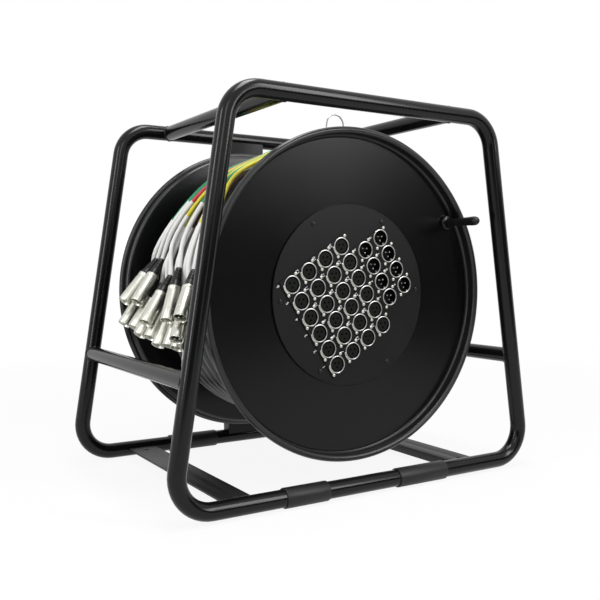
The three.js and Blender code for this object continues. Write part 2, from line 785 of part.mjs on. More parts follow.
// The lower layers as a plain core, with the ramp from which the outer layer starts.
function windingCore() {
  const [front, rear] = [DRUM_FRONT + GAP, DRUM_REAR - GAP];
  const inner = BARREL_RADIUS + GAP;
  const ring = solid(turnedRing(
    [[inner, front], [coreRadius, front], [coreRadius, rear], [inner, rear]], BARREL_SIDES,
  ));
  const face = -straightEnd - GAP;
  const foot = coreRadius - 2 * SHEET;
  const spread = THREE.MathUtils.degToRad(-RAMP_SPREAD);
  const rampShape = shapeOf([
    [foot * Math.cos(spread), foot * Math.sin(spread)],
    [Math.sqrt(foot ** 2 - face ** 2), face],
    [Math.sqrt((WOUND_RADIUS + CABLE_RADIUS) ** 2 - face ** 2), face],
  ]);
  const rampRear = firstTurnY + CABLE_RADIUS - SHEET;
  return ring.add(solid(slabAlongY(rampShape, front, rampRear)));
}

function breakoutBoot() {
  const profile = [
    [0, 0], [GLAND_NECK_RADIUS, 0], [GLAND_NECK_RADIUS, GLAND_NECK_LENGTH],
    [GLAND_RADIUS, GLAND_NECK_LENGTH + GLAND_EDGE], [GLAND_RADIUS, GLAND_LENGTH - GLAND_EDGE],
    [GLAND_RADIUS - GLAND_EDGE, GLAND_LENGTH], [0, GLAND_LENGTH],
  ];
  return pointedAlong(turned(profile, GLAND_SIDES), glandForward);
}

// Tails

// Each row: the points that a tail passes, the tip of its boot and the mouth of its plug.
const TAILS = [
  { fan: 1, color: TAIL_GREEN, outward: 1, rearward: -1, tails: [
    [[-64, -18, 457], [-132, -36, 419], [-194, -106, 316], [-195, -108, 270], [-222, -113, 204]],
    [[-64, -11, 457], [-132, -22, 419], [-188, -58, 341], [-202, -64, 294], [-238, -101, 235]],
    [[-64, -3, 457], [-132, -14, 419], [-200, -46, 309], [-205, -58, 267], [-241, -96, 208]],
    [[-64, 4, 457], [-132, 0, 419], [-188, -4, 341], [-201, -14, 297], [-230, -40, 228]],
  ] },
  { fan: 2, color: TAIL_YELLOW, outward: 1, rearward: 1, tails: [
    [[-64, 12, 457], [-132, 14, 419], [-191, 30, 333], [-199, 20, 286], [-244, 1, 223]],
    [[-64, 19, 457], [-132, 29, 419], [-181, 53, 353], [-192, 68, 309], [-239, 49, 249]],
    [[-64, 27, 457], [-132, 38, 419], [-181, 66, 354], [-194, 82, 310], [-247, 76, 249]],
    [[-64, 34, 457], [-132, 48, 419], [-193, 87, 325], [-194, 105, 278], [-240, 98, 215]],
  ] },
  { fan: 3, color: TAIL_RED, outward: -1, rearward: -1, tails: [
    [[-61, -18, 447], [-128, -30, 413], [-193, -74, 305], [-196, -80, 248], [-226, -98, 180]],
    [[-61, -10, 447], [-128, -18, 413], [-192, -40, 307], [-195, -52, 260], [-230, -72, 194]],
    [[-61, -3, 447], [-128, -11, 413], [-193, -28, 309], [-195, -42, 240], [-210, -62, 168]],
    [[-61, 4, 447], [-128, -1, 413], [-192, -18, 307], [-195, -19, 264], [-226, -36, 194]],
  ] },
  { fan: 4, color: TAIL_GREY, outward: -1, rearward: 1, tails: [
    [[-61, 12, 447], [-128, 10, 413], [-192, 10, 307], [-195, 4, 260], [-232, -12, 193]],
    [[-61, 19, 447], [-128, 20, 413], [-192, 34, 309], [-195, 26, 266], [-235, 9, 202]],
    [[-61, 26, 447], [-128, 29, 413], [-192, 44, 311], [-195, 42, 267], [-241, 33, 204]],
    [[-61, 34, 447], [-128, 40, 413], [-191, 54, 306], [-195, 64, 275], [-241, 54, 213]],
  ] },
];

// The middle of the boot's mouth, from which the tails leave.
function bootMouth(centres) {
  const run = GAP + GLAND_LENGTH + GAP;
  const mouth = centres.at(-1).clone().addScaledVector(glandForward, run);
  return mouth.add(new THREE.Vector3(0, 0, axleHeight));
}

// Four slots to a quadrant of the boot's mouth, near enough that the tails touch there.
function tailSlot(mouth, outward, rearward, place) {
  const half = TAIL_SLOT / 2;
  const along = outward * TAIL_QUADRANT + (place % 2 ? -half : half);
  const back = rearward * TAIL_QUADRANT + (place < 2 ? -half : half);
  return mouth.clone().addScaledVector(glandOutward, along).add(new THREE.Vector3(0, back, 0));
}

function plug(tip, mouth) {
  const length = tip.distanceTo(mouth);
  const shoulder = length - BOOT_LENGTH;
  const profile = [
    [0, PLUG_MOUTH_DEPTH], [PLUG_MOUTH_RADIUS, PLUG_MOUTH_DEPTH], [PLUG_MOUTH_RADIUS, 0],
    [PLUG_RADIUS, 0], [PLUG_RADIUS, shoulder], [BOOT_TIP_RADIUS, length], [0, length],
  ];
  const along = tip.clone().sub(mouth).normalize();
  const geometry = pointedAlong(turned(profile, PLUG_SIDES), along);
  return solid(geometry.translate(mouth.x, mouth.y, mouth.z));
}

function tailWithPlug(start, row) {
  const points = row.map((values) => new THREE.Vector3(...values));
  const mouth = points.pop();
  const tip = points.at(-1);
  const inBoot = tip.clone().sub(mouth).setLength(TAIL_IN_BOOT);
  const lead = start.clone().addScaledVector(glandForward, TAIL_LEAD);
  const route = [start, lead, ...points, tip.clone().sub(inBoot)];
  const curve = new THREE.CatmullRomCurve3(route, false, 'centripetal');
  return solid(tubeAlong(curve, TAIL_STEPS, TAIL_RADIUS, TAIL_SIDES)).add(plug(tip, mouth));
}

function tailFan({ outward, rearward, tails }, mouth) {
  return join(tails.map((row, place) => {
    return tailWithPlug(tailSlot(mouth, outward, rearward, place), row);
  }));
}

// Assembly

const group = new THREE.Group();

group.add(painted('front_frame_tube', loopSolid(-LOOP_OFFSET, TUBE_RADIUS)));
group.add(painted('rear_frame_tube', loopSolid(LOOP_OFFSET, TUBE_RADIUS)));
for (const [name, side] of [['left', -1], ['right', 1]]) {
  const top = crossTube(TUBE_RADIUS, side * TOP_CROSS_OFFSET, tubeHeight + LOOP_RISE);
  const low = crossTube(SIDE_CROSS_RADIUS, side * sideCrossX(), tubeHeight + SIDE_CROSS_RISE);
  group.add(painted(`top_cross_tube_${name}`, top));
  group.add(painted(`side_cross_tube_${name}`, low));
  group.add(painted(`base_rail_${name}`, baseRail(side)));
}
for (const [name, centre] of Object.entries(SLEEVE_CENTRES)) {
  const y = name.startsWith('front') ? -LOOP_OFFSET : LOOP_OFFSET;
  group.add(rubber(`foot_sleeve_${name}`, footSleeve(y, centre, SLEEVE_LENGTHS[name])));
}
group.add(painted('rear_upright', rearUpright()));

const onAxle = new THREE.Group();
onAxle.position.z = axleHeight;
onAxle.add(zinc('axle', axle()));
onAxle.add(zinc('axle_nut_rear', rearNut()));
onAxle.add(zinc('axle_nut_front', frontNut()));
onAxle.add(painted('core_barrel', coreBarrel()));
onAxle.add(meshOf('bush_front', bush(HUB_FRONT, -1), BRONZE, 0.4, 0.8));
onAxle.add(meshOf('bush_rear', bush(HUB_REAR, 1), BRONZE, 0.4, 0.8));
onAxle.add(painted('front_flange', flange(DRUM_FRONT, -1, PANEL_OPENING_RADIUS)));
onAxle.add(painted('rear_flange', flange(DRUM_REAR, 1, AXLE_OPENING_RADIUS)));
onAxle.add(meshOf('anchor_eye', wireEye(), ZINC, 0.25, 1));
onAxle.add(rubber('winding_core', windingCore()));
const centres = windingCentres();
onAxle.add(meshOf('multicore_winding', windingTube(centres), CABLE_GREY, 0.55, 0));
const boot = breakoutBoot();
const bootFoot = centres.at(-1).clone().addScaledVector(glandForward, GAP);
boot.translate(bootFoot.x, bootFoot.y, bootFoot.z);
onAxle.add(rubber('breakout_boot', solid(boot)));

const onPanel = new THREE.Group();
onPanel.position.y = discFront - GAP;
onPanel.rotation.y = -THREE.MathUtils.degToRad(PANEL_TURN);
onPanel.add(painted('connector_panel', connectorPanel()));
socketPlaces().filter(({ isFemale }) => isFemale).forEach(({ x, z }, i) => {
  const tab = meshOf(`latch_${String(i + 1).padStart(2, '0')}`, latchTab(), NICKEL, 0.3, 1);
  tab.position.set(x, 0, z);
  onPanel.add(tab);
});
onAxle.add(onPanel);

const onCrank = new THREE.Group();
onCrank.position.set(CRANK_X, 0, CRANK_Z);
onCrank.add(painted('crank_boss', crankBoss()));
onCrank.add(meshOf('crank_grip', crankGrip(), BLACK_PLASTIC, 0.5, 0));
onAxle.add(onCrank);
group.add(onAxle);

for (const fan of TAILS) {
  group.add(meshOf(`tail_fan_${fan.fan}`, tailFan(fan, bootMouth(centres)), fan.color, 0.5, 0));
}

console.log(`least gap of the winding to itself: ${leastGap(centres).toFixed(2)} mm`);

export default group;
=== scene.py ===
# %% [markdown]
# # A multicore cable drum
# A black steel drum turns in a frame of bent tube. A thick multicore cable is wound on it, and
# the cable's coloured tails hang over the winding with their plugs. A round panel of audio
# sockets fills the middle of the drum's front. The simple model that was made for the joints and
# for collision is loaded first. Every piece that shows is then built finer on top of it, in the
# same place and the same size, in metres: x runs along the front, y from front to back, z up.

# %% The simple model
import math
import bpy
from mathutils import Matrix, Vector


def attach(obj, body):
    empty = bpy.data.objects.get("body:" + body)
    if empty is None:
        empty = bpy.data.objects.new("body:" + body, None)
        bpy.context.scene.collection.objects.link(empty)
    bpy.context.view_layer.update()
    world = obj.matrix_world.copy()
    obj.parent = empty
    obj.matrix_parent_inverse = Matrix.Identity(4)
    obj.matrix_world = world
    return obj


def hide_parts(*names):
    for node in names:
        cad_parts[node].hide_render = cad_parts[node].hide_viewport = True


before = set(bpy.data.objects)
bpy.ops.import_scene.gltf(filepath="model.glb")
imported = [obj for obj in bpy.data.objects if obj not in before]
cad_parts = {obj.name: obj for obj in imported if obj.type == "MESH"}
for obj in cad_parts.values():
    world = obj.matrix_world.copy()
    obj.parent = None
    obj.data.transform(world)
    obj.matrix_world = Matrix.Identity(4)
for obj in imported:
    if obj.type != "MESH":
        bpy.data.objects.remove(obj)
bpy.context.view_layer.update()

# %% [markdown]
# ## Helpers for working by hand
# A Blender operator acts on whatever is selected, so each piece starts from an empty selection.
# Three ways of drawing cover nearly all of this object: an outline drawn point by point by
# extruding a single vertex, which is then spun round an axis or pushed along one; a circle
# extruded and spun along a bent tube; and primitives cut by one another.

# %% Selecting, starting and finishing a piece
mm = 0.001


def clear_selection():
    if bpy.context.mode != "OBJECT":
        bpy.ops.object.mode_set(mode="OBJECT")
    bpy.ops.object.select_all(action="DESELECT")


def pick(*pieces):
    clear_selection()
    for piece in pieces:
        piece.select_set(True)
    bpy.context.view_layer.objects.active = pieces[0]


def settle(piece):
    """Puts the piece's place into its mesh, so that its object sits at the origin."""
    pick(piece)
    bpy.ops.object.transform_apply(location=True, rotation=True, scale=True)
    return piece


def smooth(piece, degrees=35):
    pick(piece)
    bpy.ops.object.shade_smooth_by_angle(angle=math.radians(degrees))
    return piece


def dress(piece, name, body, *materials, stands_for=(), slot=None):
    """Names a piece, gives it its materials and lets it ride on its body."""
    piece.name = name
    piece.data.name = name
    if materials:
        piece.data.materials.clear()
        for material in materials:
            piece.data.materials.append(material)
    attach(piece, body)
    if stands_for:
        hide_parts(*stands_for)
    return piece


def use_modifier(piece, kind, **settings):
    pick(piece)
    modifier = piece.modifiers.new(kind.title(), kind)
    for key, value in settings.items():
        setattr(modifier, key, value)
    bpy.ops.object.modifier_apply(modifier=modifier.name)
    return piece


def round_edges(piece, width, segments=2, degrees=30):
    return use_modifier(piece, "BEVEL", width=width, segments=segments, limit_method="ANGLE",
                        angle_limit=math.radians(degrees), use_clamp_overlap=True)


def cut_away(piece, *cutters):
    """Cuts the shapes of other pieces out of this one, and removes them."""
    for cutter in cutters:
        use_modifier(piece, "BOOLEAN", operation="DIFFERENCE", solver="EXACT", object=cutter)
        bpy.data.objects.remove(cutter)
    return piece


def fuse(first, *others):
    pick(first, *others)
    bpy.ops.object.join()
    return bpy.context.object


def turn_outwards(piece, merge=0.01 * mm):
    pick(piece)
    bpy.ops.object.mode_set(mode="EDIT")
    bpy.ops.mesh.select_all(action="SELECT")
    bpy.ops.mesh.remove_doubles(threshold=merge)
    bpy.ops.mesh.normals_make_consistent(inside=False)
    bpy.ops.object.mode_set(mode="OBJECT")
    return piece


print("helpers ready")

# %% Drawing an outline, and a piece turned on the lathe


def draw_outline(points):
    """Draws a line of edges: one vertex, extruded from point to point. Leaves it in edit mode."""
    clear_selection()
    points = [Vector(point) for point in points]
    bpy.ops.mesh.primitive_plane_add(size=mm, location=points[0])
    piece = settle(bpy.context.object)
    bpy.ops.object.mode_set(mode="EDIT")
    bpy.ops.mesh.select_all(action="SELECT")
    bpy.ops.mesh.merge(type="CENTER")
    for here, there in zip(points, points[1:]):
        bpy.ops.mesh.extrude_region_move(TRANSFORM_OT_translate={"value": there - here})
    bpy.ops.mesh.select_all(action="SELECT")
    return piece


def turned(profile, sides=96, centre=(0, 0, 0), closed=False):
    """Spins a profile of [radius, y] points, in millimetres, round the y axis."""
    points = [(radius * mm, y * mm, 0) for radius, y in profile]
    piece = draw_outline(points + points[:1] if closed else points)
    bpy.ops.mesh.spin(steps=sides, angle=2 * math.pi, center=(0, 0, 0), axis=(0, 1, 0))
    turn_outwards(piece)
    piece.location = centre
    return smooth(settle(piece))


def pushed(points, along):
    """Fills an outline and extrudes it along a direction."""
    piece = draw_outline(points)
    bpy.ops.mesh.edge_face_add()
    bpy.ops.mesh.extrude_region_move(TRANSFORM_OT_translate={"value": Vector(along)})
    return turn_outwards(piece)


def bar(radius, start, end, sides=24):
    """A round bar between two points, from a cylinder primitive."""
    start, end = Vector(start), Vector(end)
    clear_selection()
    along = end - start
    turn = along.to_track_quat("Z", "Y").to_euler()
    bpy.ops.mesh.primitive_cylinder_add(vertices=sides, radius=radius, depth=along.length,
                                        location=(start + end) / 2, rotation=turn)
    return settle(bpy.context.object)


def copy_to(source, matrix):
    """A copy with its own mesh, moved to a place and settled there."""
    pick(source)
    bpy.ops.object.duplicate(linked=False)
    copy = bpy.context.object
    copy.matrix_world = matrix
    return settle(copy)


print("outline, lathe, push, bar and copy ready")

# %% [markdown]
# ## The camera
# The photograph was taken from the left of the drum's front, about 1.2 m away and nearly level.
# The camera's place was worked out once, from the grid of sockets, the round of the flange and
# the corners of the frame, so it is simply written down here.

# %% Camera
CAMERA_PLACE = (-0.6283, -1.0020, 0.3000)
LOOKS_DOWN, LOOKS_RIGHT = math.radians(2.476), math.radians(32.13)
clear_selection()
bpy.ops.object.camera_add(location=CAMERA_PLACE, rotation=(math.pi / 2 - LOOKS_DOWN, 0, -LOOKS_RIGHT))
camera = bpy.context.object
camera.data.lens = 47.09
camera.data.sensor_width = 36
camera.data.clip_end = 50
bpy.context.scene.camera = camera
print("camera looks along", tuple(round(v, 3) for v in camera.matrix_world.to_3x3() @ Vector((0, 0, -1))))

# %% [markdown]
# ## Materials
# Nearly everything is black, so the black surfaces are told apart by their gloss and grain: powder
# coat is smooth with a faint orange peel, rubber is duller, cable jacket has a soft shine. Each
# material varies its roughness over the surface with noise on Object coordinates, which stay
# the same whichever way the drum turns.

# %% One helper that mixes a surface
DRIFT_SCALE = 14
RELIEF_DEPTH = 0.4 * mm


def surface(name, color, roughness, metallic=0.0, grain=900, bump=0.05, spread=0.08, shade=0.12,
            gloss=0.5):
    """A material whose colour and roughness drift with a coarse noise, and whose bump is fine."""
    material = bpy.data.materials.new(name)
    material.use_nodes = True
    nodes, links = material.node_tree.nodes, material.node_tree.links
    shader = nodes["Principled BSDF"]
    shader.inputs["Metallic"].default_value = metallic
    shader.inputs["Specular IOR Level"].default_value = gloss
    place = nodes.new("ShaderNodeTexCoord")
    cloud = nodes.new("ShaderNodeTexNoise")
    cloud.inputs["Scale"].default_value = DRIFT_SCALE
    cloud.inputs["Detail"].default_value = 6
    links.new(place.outputs["Object"], cloud.inputs["Vector"])
    rough = nodes.new("ShaderNodeMapRange")
    rough.inputs["To Min"].default_value = roughness - spread
    rough.inputs["To Max"].default_value = roughness + spread
    links.new(cloud.outputs["Fac"], rough.inputs["Value"])
    links.new(rough.outputs["Result"], shader.inputs["Roughness"])
    tint = nodes.new("ShaderNodeMix")
    tint.data_type = "RGBA"
    tint.inputs["A"].default_value = (*[c * (1 - shade) for c in color], 1)
    tint.inputs["B"].default_value = (*[min(1, c * (1 + shade)) for c in color], 1)
    links.new(cloud.outputs["Fac"], tint.inputs["Factor"])
    links.new(tint.outputs["Result"], shader.inputs["Base Color"])
    fine = nodes.new("ShaderNodeTexNoise")
    fine.inputs["Scale"].default_value = grain
    fine.inputs["Detail"].default_value = 3
    links.new(place.outputs["Object"], fine.inputs["Vector"])
    relief = nodes.new("ShaderNodeBump")
    relief.inputs["Strength"].default_value = bump
    relief.inputs["Distance"].default_value = RELIEF_DEPTH
    links.new(fine.outputs["Fac"], relief.inputs["Height"])
    links.new(relief.outputs["Normal"], shader.inputs["Normal"])
    return material


# %% The finishes of this object
powder_coat = surface("black_powder_coat", (0.0040, 0.0041, 0.0045), 0.18, grain=650, bump=0.08,
                      spread=0.03, gloss=0.25)
sheet_coat = surface("black_sheet_coat", (0.0026, 0.0027, 0.0030), 0.22, grain=800, bump=0.05,
                     spread=0.02, gloss=0.23)
satin_coat = surface("black_satin_coat", (0.0100, 0.0102, 0.0106), 0.50, grain=900, bump=0.10, gloss=0.45)
# A lighter, glossier copy of the sheet paint for the flange's rim: a painted highlight on the same paint.
rim_painted_highlight = surface("black_rim_painted_highlight", (0.0060, 0.0062, 0.0068), 0.34, grain=650, bump=0.08, gloss=0.50)
sleeve_rubber = surface("sleeve_rubber", (0.0085, 0.0085, 0.0085), 0.44, grain=1200, bump=0.14, gloss=0.32)
black_plastic = surface("black_plastic", (0.0080, 0.0080, 0.0080), 0.32, grain=1500, bump=0.08, gloss=0.25)
panel_coat = surface("panel_coat", (0.0045, 0.0046, 0.0048), 0.40, grain=1100, bump=0.08, gloss=0.20)
jacket = surface("multicore_jacket", (0.020, 0.020, 0.021), 0.30, grain=900, bump=0.08, gloss=0.45)
nickel = surface("satin_nickel", (0.60, 0.60, 0.54), 0.32, 1.0, grain=900, bump=0.02, shade=0.05)
bright_ring = surface("bright_ring", (0.48, 0.48, 0.47), 0.30, 1.0, grain=900, bump=0.02, shade=0.05)
zinc = surface("zinc_plate", (0.52, 0.53, 0.54), 0.34, 1.0, grain=900, bump=0.05)
bronze = surface("sintered_bronze", (0.46, 0.30, 0.14), 0.5, 1.0, grain=1600, bump=0.12)
dark_well = surface("dark_well", (0.003, 0.003, 0.003), 0.6, grain=1200, bump=0.05, gloss=0.1)
insert_plastic = surface("insert_plastic", (0.0045, 0.0055, 0.0040), 0.5, grain=1500, bump=0.08, gloss=0.12)
white_print = surface("white_print", (0.80, 0.80, 0.79), 0.55, grain=1600, bump=0.03, shade=0.03)
heat_shrink = surface("white_heat_shrink", (0.74, 0.74, 0.72), 0.38, grain=500, bump=0.12, shade=0.06)
tail_colors = {
    name: surface(f"tail_{name}", color, 0.45, grain=900, bump=0.05, gloss=0.22) for name, color in {
        "green": (0.030, 0.270, 0.130), "yellow": (0.700, 0.620, 0.060), "red": (0.620, 0.060, 0.085),
        "olive": (0.210, 0.200, 0.050), "brown": (0.060, 0.030, 0.020), "white": (0.640, 0.640, 0.620),
    }.items()}
print("materials", len(bpy.data.materials))

# %% [markdown]
# ## The tails
# Each tail leaves the breakout boot, falls over the winding and ends in a plug. It is a curve
# through a few points that lie on the winding, smoothed the way a cable bends, and given its
# thickness. The last stretch before the plug wears a white sleeve, shrunk on. A curve is the
# right thing for a cable: its length can be measured, and it never pinches in a bend.

# %% Where the tails start
AXLE = 260.6 * mm
BOOT_ANGLE = math.radians(60)
BOOT_Y = 10 * mm
BOOT_LENGTH = 60.3 * mm
NECK_LENGTH = 21.3 * mm
RIDING_RADIUS = 204.7 * mm
TAIL_RADIUS = 2.9 * mm
FAN_OFFSET = 6.2 * mm
TAIL_OFFSET = 2 * mm
boot_outward = Vector((math.cos(BOOT_ANGLE), 0, math.sin(BOOT_ANGLE)))
boot_forward = Vector((-math.sin(BOOT_ANGLE), 0, math.cos(BOOT_ANGLE)))
boot_foot = Vector((0, BOOT_Y, AXLE)) + boot_outward * RIDING_RADIUS + boot_forward * NECK_LENGTH
boot_mouth = boot_foot + boot_forward * BOOT_LENGTH


def tail_slot(outward, rearward, place):
    """Where a tail leaves the boot: four fans of four, and each fan is a small square."""
    along = outward * FAN_OFFSET + (-TAIL_OFFSET if place % 2 else TAIL_OFFSET)
    back = rearward * FAN_OFFSET + (-TAIL_OFFSET if place < 2 else TAIL_OFFSET)
    return boot_mouth + boot_outward * along + Vector((0, back, 0))


print("boot mouth", tuple(round(v, 4) for v in boot_mouth))

# %% The routes in millimetres
# A fan says whether it is outward (1) or inward (-1) and rearward (1) or forward (-1) in the boot,
# the colours of its tails, and a row for each tail: four points and the mouth of its plug.
FANS = [
    (1, -1, ["yellow", "green", "yellow", "green"], [
        ((-64, -18, 457), (-132, -36, 419), (-194, -106, 316), (-195, -108, 270), (-222, -113, 204)),
        ((-64, -11, 457), (-132, -22, 419), (-188, -58, 341), (-202, -64, 294), (-238, -101, 235)),
        ((-64, -3, 457), (-132, -14, 419), (-200, -46, 309), (-205, -58, 267), (-241, -96, 208)),
        ((-64, 4, 457), (-132, 0, 419), (-188, -4, 341), (-201, -14, 297), (-230, -40, 228)),
    ]),
    (1, 1, ["yellow", "red", "green", "green"], [
        ((-64, 12, 457), (-132, 14, 419), (-191, 30, 333), (-199, 20, 286), (-244, 1, 223)),
        ((-64, 19, 457), (-132, 29, 419), (-181, 53, 353), (-192, 68, 309), (-239, 49, 249)),
        ((-64, 27, 457), (-132, 38, 419), (-181, 66, 354), (-194, 82, 310), (-247, 76, 249)),
        ((-64, 34, 457), (-132, 48, 419), (-193, 87, 325), (-194, 105, 278), (-240, 98, 215)),
    ]),
    (-1, -1, ["brown", "olive", "brown", "white"], [
        ((-61, -18, 447), (-128, -30, 413), (-193, -74, 305), (-196, -80, 248), (-226, -98, 180)),
        ((-61, -10, 447), (-128, -18, 413), (-192, -40, 307), (-195, -52, 260), (-230, -72, 194)),
        ((-61, -3, 447), (-128, -11, 413), (-193, -28, 309), (-195, -42, 240), (-210, -62, 168)),
        ((-61, 4, 447), (-128, -1, 413), (-192, -18, 307), (-195, -19, 264), (-226, -36, 194)),
    ]),
    (-1, 1, ["brown", "yellow", "olive", "white"], [
        ((-61, 12, 447), (-128, 10, 413), (-192, 10, 307), (-195, 4, 260), (-232, -12, 193)),
        ((-61, 19, 447), (-128, 20, 413), (-192, 34, 309), (-195, 26, 266), (-235, 9, 202)),
        ((-61, 26, 447), (-128, 29, 413), (-192, 44, 311), (-195, 42, 267), (-241, 33, 204)),
        ((-61, 34, 447), (-128, 40, 413), (-191, 54, 306), (-195, 64, 275), (-241, 54, 213)),
    ]),
]
print("tails", sum(len(fan[3]) for fan in FANS))

# %% A smooth route through points


def smooth_route(points, steps):
    """A Catmull-Rom line through the points, paced by the square root of their distances."""
    points = [Vector(p) for p in points]
    chain = [2 * points[0] - points[1], *points, 2 * points[-1] - points[-2]]
    route = []
    for i in range(1, len(chain) - 2):
        p = chain[i - 1:i + 3]
        knots = [0.0]
        for a, b in zip(p, p[1:]):
            knots.append(knots[-1] + math.sqrt((b - a).length))
        for step in range(steps):
            t = knots[1] + (knots[2] - knots[1]) * step / steps
            edges = [p[k].lerp(p[k + 1], (t - knots[k]) / (knots[k + 1] - knots[k])) for k in range(3)]
            halves = [edges[k].lerp(edges[k + 1], (t - knots[k]) / (knots[k + 2] - knots[k]))
                      for k in range(2)]
            route.append(halves[0].lerp(halves[1], (t - knots[1]) / (knots[2] - knots[1])))
    return route + [points[-1]]


def cable(points, radius, sides=6):
    """A curve object of one open line with a round section."""
    clear_selection()
    bpy.ops.curve.primitive_nurbs_path_add()
    piece = bpy.context.object
    line = piece.data
    line.splines.clear()
    spline = line.splines.new("POLY")
    spline.points.add(len(points) - 1)
    for place, point in zip(spline.points, points):
        place.co = (*point, 1)
    line.bevel_depth = radius
    line.bevel_resolution = sides
    line.use_fill_caps = True
    return piece


def length_of(points):
    return sum((b - a).length for a, b in zip(points, points[1:]))


# %% [markdown]
# ## One plug, used sixteen times
# The plug on each tail is a nickel barrel with an open mouth, three pins inside, and a black
# tapered boot behind. All of it is round, so its halves are turned on the lathe from profiles,
# and the pins are thin cylinders. It is made once, standing along y with its mouth at the
# origin, and then copied and swung into the line from each mouth to the end of its tail.

# %% The plug
PLUG_LENGTH = 80
PLUG_PIN_CIRCLE = 3.6
PLUG_PIN_RADIUS = 1.2


def three_around(radius, first):
    """Three places on a circle, where the pins of a plug or the holes of a socket are."""
    angles = [math.radians(first + 120 * k) for k in range(3)]
    return [(radius * math.cos(angle) * mm, radius * math.sin(angle) * mm) for angle in angles]


def make_plug():
    barrel = turned([(0, 13), (7.5, 13), (7.7, 1), (8.2, 0.2), (8.9, 0.2), (9.1, 0.8), (9.1, 14),
                     (8.8, 14.4), (8.8, 15.6), (9.1, 16), (9.0, 40), (8.6, 44), (8.6, 46), (8.9, 46.6),
                     (8.9, 50), (8.4, 50.6), (0, 50.6)], 40)
    well = turned([(0, 10), (7.3, 10), (7.3, 13.2), (0, 13.2)], 28)
    boot = turned([(0, 50), (8.0, 50), (8.0, 53), (7.5, 54), (6.9, 60), (6.4, 60.4), (6.7, 61), (6.1, 66),
                   (5.6, 66.4), (5.9, 67), (5.3, 72), (4.9, 72.4), (5.1, 73), (4.4, 79),
                   (3.6, PLUG_LENGTH), (0, PLUG_LENGTH)], 32)
    pins = [bar(PLUG_PIN_RADIUS * mm, (x, 3 * mm, z), (x, 11 * mm, z), 12)
            for x, z in three_around(PLUG_PIN_CIRCLE, 90)]
    for piece, material in [(barrel, nickel), (well, dark_well), (boot, black_plastic),
                            *((pin, nickel) for pin in pins)]:
        piece.data.materials.append(material)
    return fuse(barrel, well, boot, *pins)


plug_pattern = make_plug()
print("plug", len(plug_pattern.data.polygons), "faces")

# %% Sixteen tails with their sleeves and plugs
STRAIGHT_OUT = 10 * mm
INTO_PLUG = 5 * mm
SLEEVE_LENGTH = 92 * mm
SLEEVE_WALL = 0.45 * mm
ROUTE_STEPS = 7
tail_lengths = []
for fan, (outward, rearward, colors, rows) in enumerate(FANS, 1):
    for place, row in enumerate(rows):
        start = tail_slot(outward, rearward, place)
        *free, mouth = [Vector([value * mm for value in point]) for point in row]
        tip = free[-1]
        inside = tip + (mouth - tip).normalized() * INTO_PLUG
        route = smooth_route([start, start + boot_forward * STRAIGHT_OUT, *free, inside], ROUTE_STEPS)
        tag = f"{fan}_{place + 1}"
        tail = cable(route, TAIL_RADIUS)
        dress(tail, f"tail_{tag}", "drum", tail_colors[colors[place]], slot="tail_green")
        sleeve_start = max(i for i in range(len(route)) if length_of(route[i:]) > SLEEVE_LENGTH)
        sleeve = cable(route[sleeve_start:], TAIL_RADIUS + SLEEVE_WALL)
        dress(sleeve, f"tail_sleeve_{tag}", "drum", heat_shrink)
        along = tip - mouth
        stretch = Matrix.Diagonal((1, along.length / (PLUG_LENGTH * mm), 1, 1))
        swing = along.to_track_quat("Y", "Z").to_matrix().to_4x4()
        plug = copy_to(plug_pattern, Matrix.Translation(mouth) @ swing @ stretch)
        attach(plug, "drum")
        plug.name = f"plug_{tag}"
        length = length_of(route)
        tail_lengths.append(length)
        if place == 0:
            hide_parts(f"tail_fan_{fan}")
bpy.data.objects.remove(plug_pattern)
print("tails from", round(min(tail_lengths), 3), "to", round(max(tail_lengths), 3), "m")

# %% [markdown]
# ## Floor, backdrop and light
# The photograph is a product shot on pure white. Black gloss only shows its shape by what it
# mirrors, so a few large soft lamps stand where the photograph's highlights ask for them, and the
# surroundings are white only for the camera and for mirrored rays that miss the lamps.

# %% World


def seen_directly(tree):
    """1 for rays of the camera and for mirrored and refracted rays, 0 for the light on surfaces."""
    rays = tree.nodes.new("ShaderNodeLightPath")
    total = rays.outputs["Is Camera Ray"]
    for kind in ("Is Glossy Ray", "Is Transmission Ray"):
        either = tree.nodes.new("ShaderNodeMath")
        either.operation = "MAXIMUM"
        tree.links.new(total, either.inputs[0])
        tree.links.new(rays.outputs[kind], either.inputs[1])
        total = either.outputs["Value"]
    return total


world = bpy.data.worlds.new("studio")
bpy.context.scene.world = world
world.use_nodes = True
sky, wires = world.node_tree.nodes, world.node_tree.links
white = sky.new("ShaderNodeBackground")
white.inputs["Color"].default_value = (1, 1, 1, 1)
white.inputs["Strength"].default_value = 1.0
room = sky["Background"]
room.inputs["Color"].default_value = (0.90, 0.92, 0.95, 1)
room.inputs["Strength"].default_value = 0.30
choose = sky.new("ShaderNodeMixShader")
wires.new(seen_directly(world.node_tree), choose.inputs["Fac"])
wires.new(room.outputs["Background"], choose.inputs[1])
wires.new(white.outputs["Background"], choose.inputs[2])
wires.new(choose.outputs["Shader"], sky["World Output"].inputs["Surface"])
print("world ready")

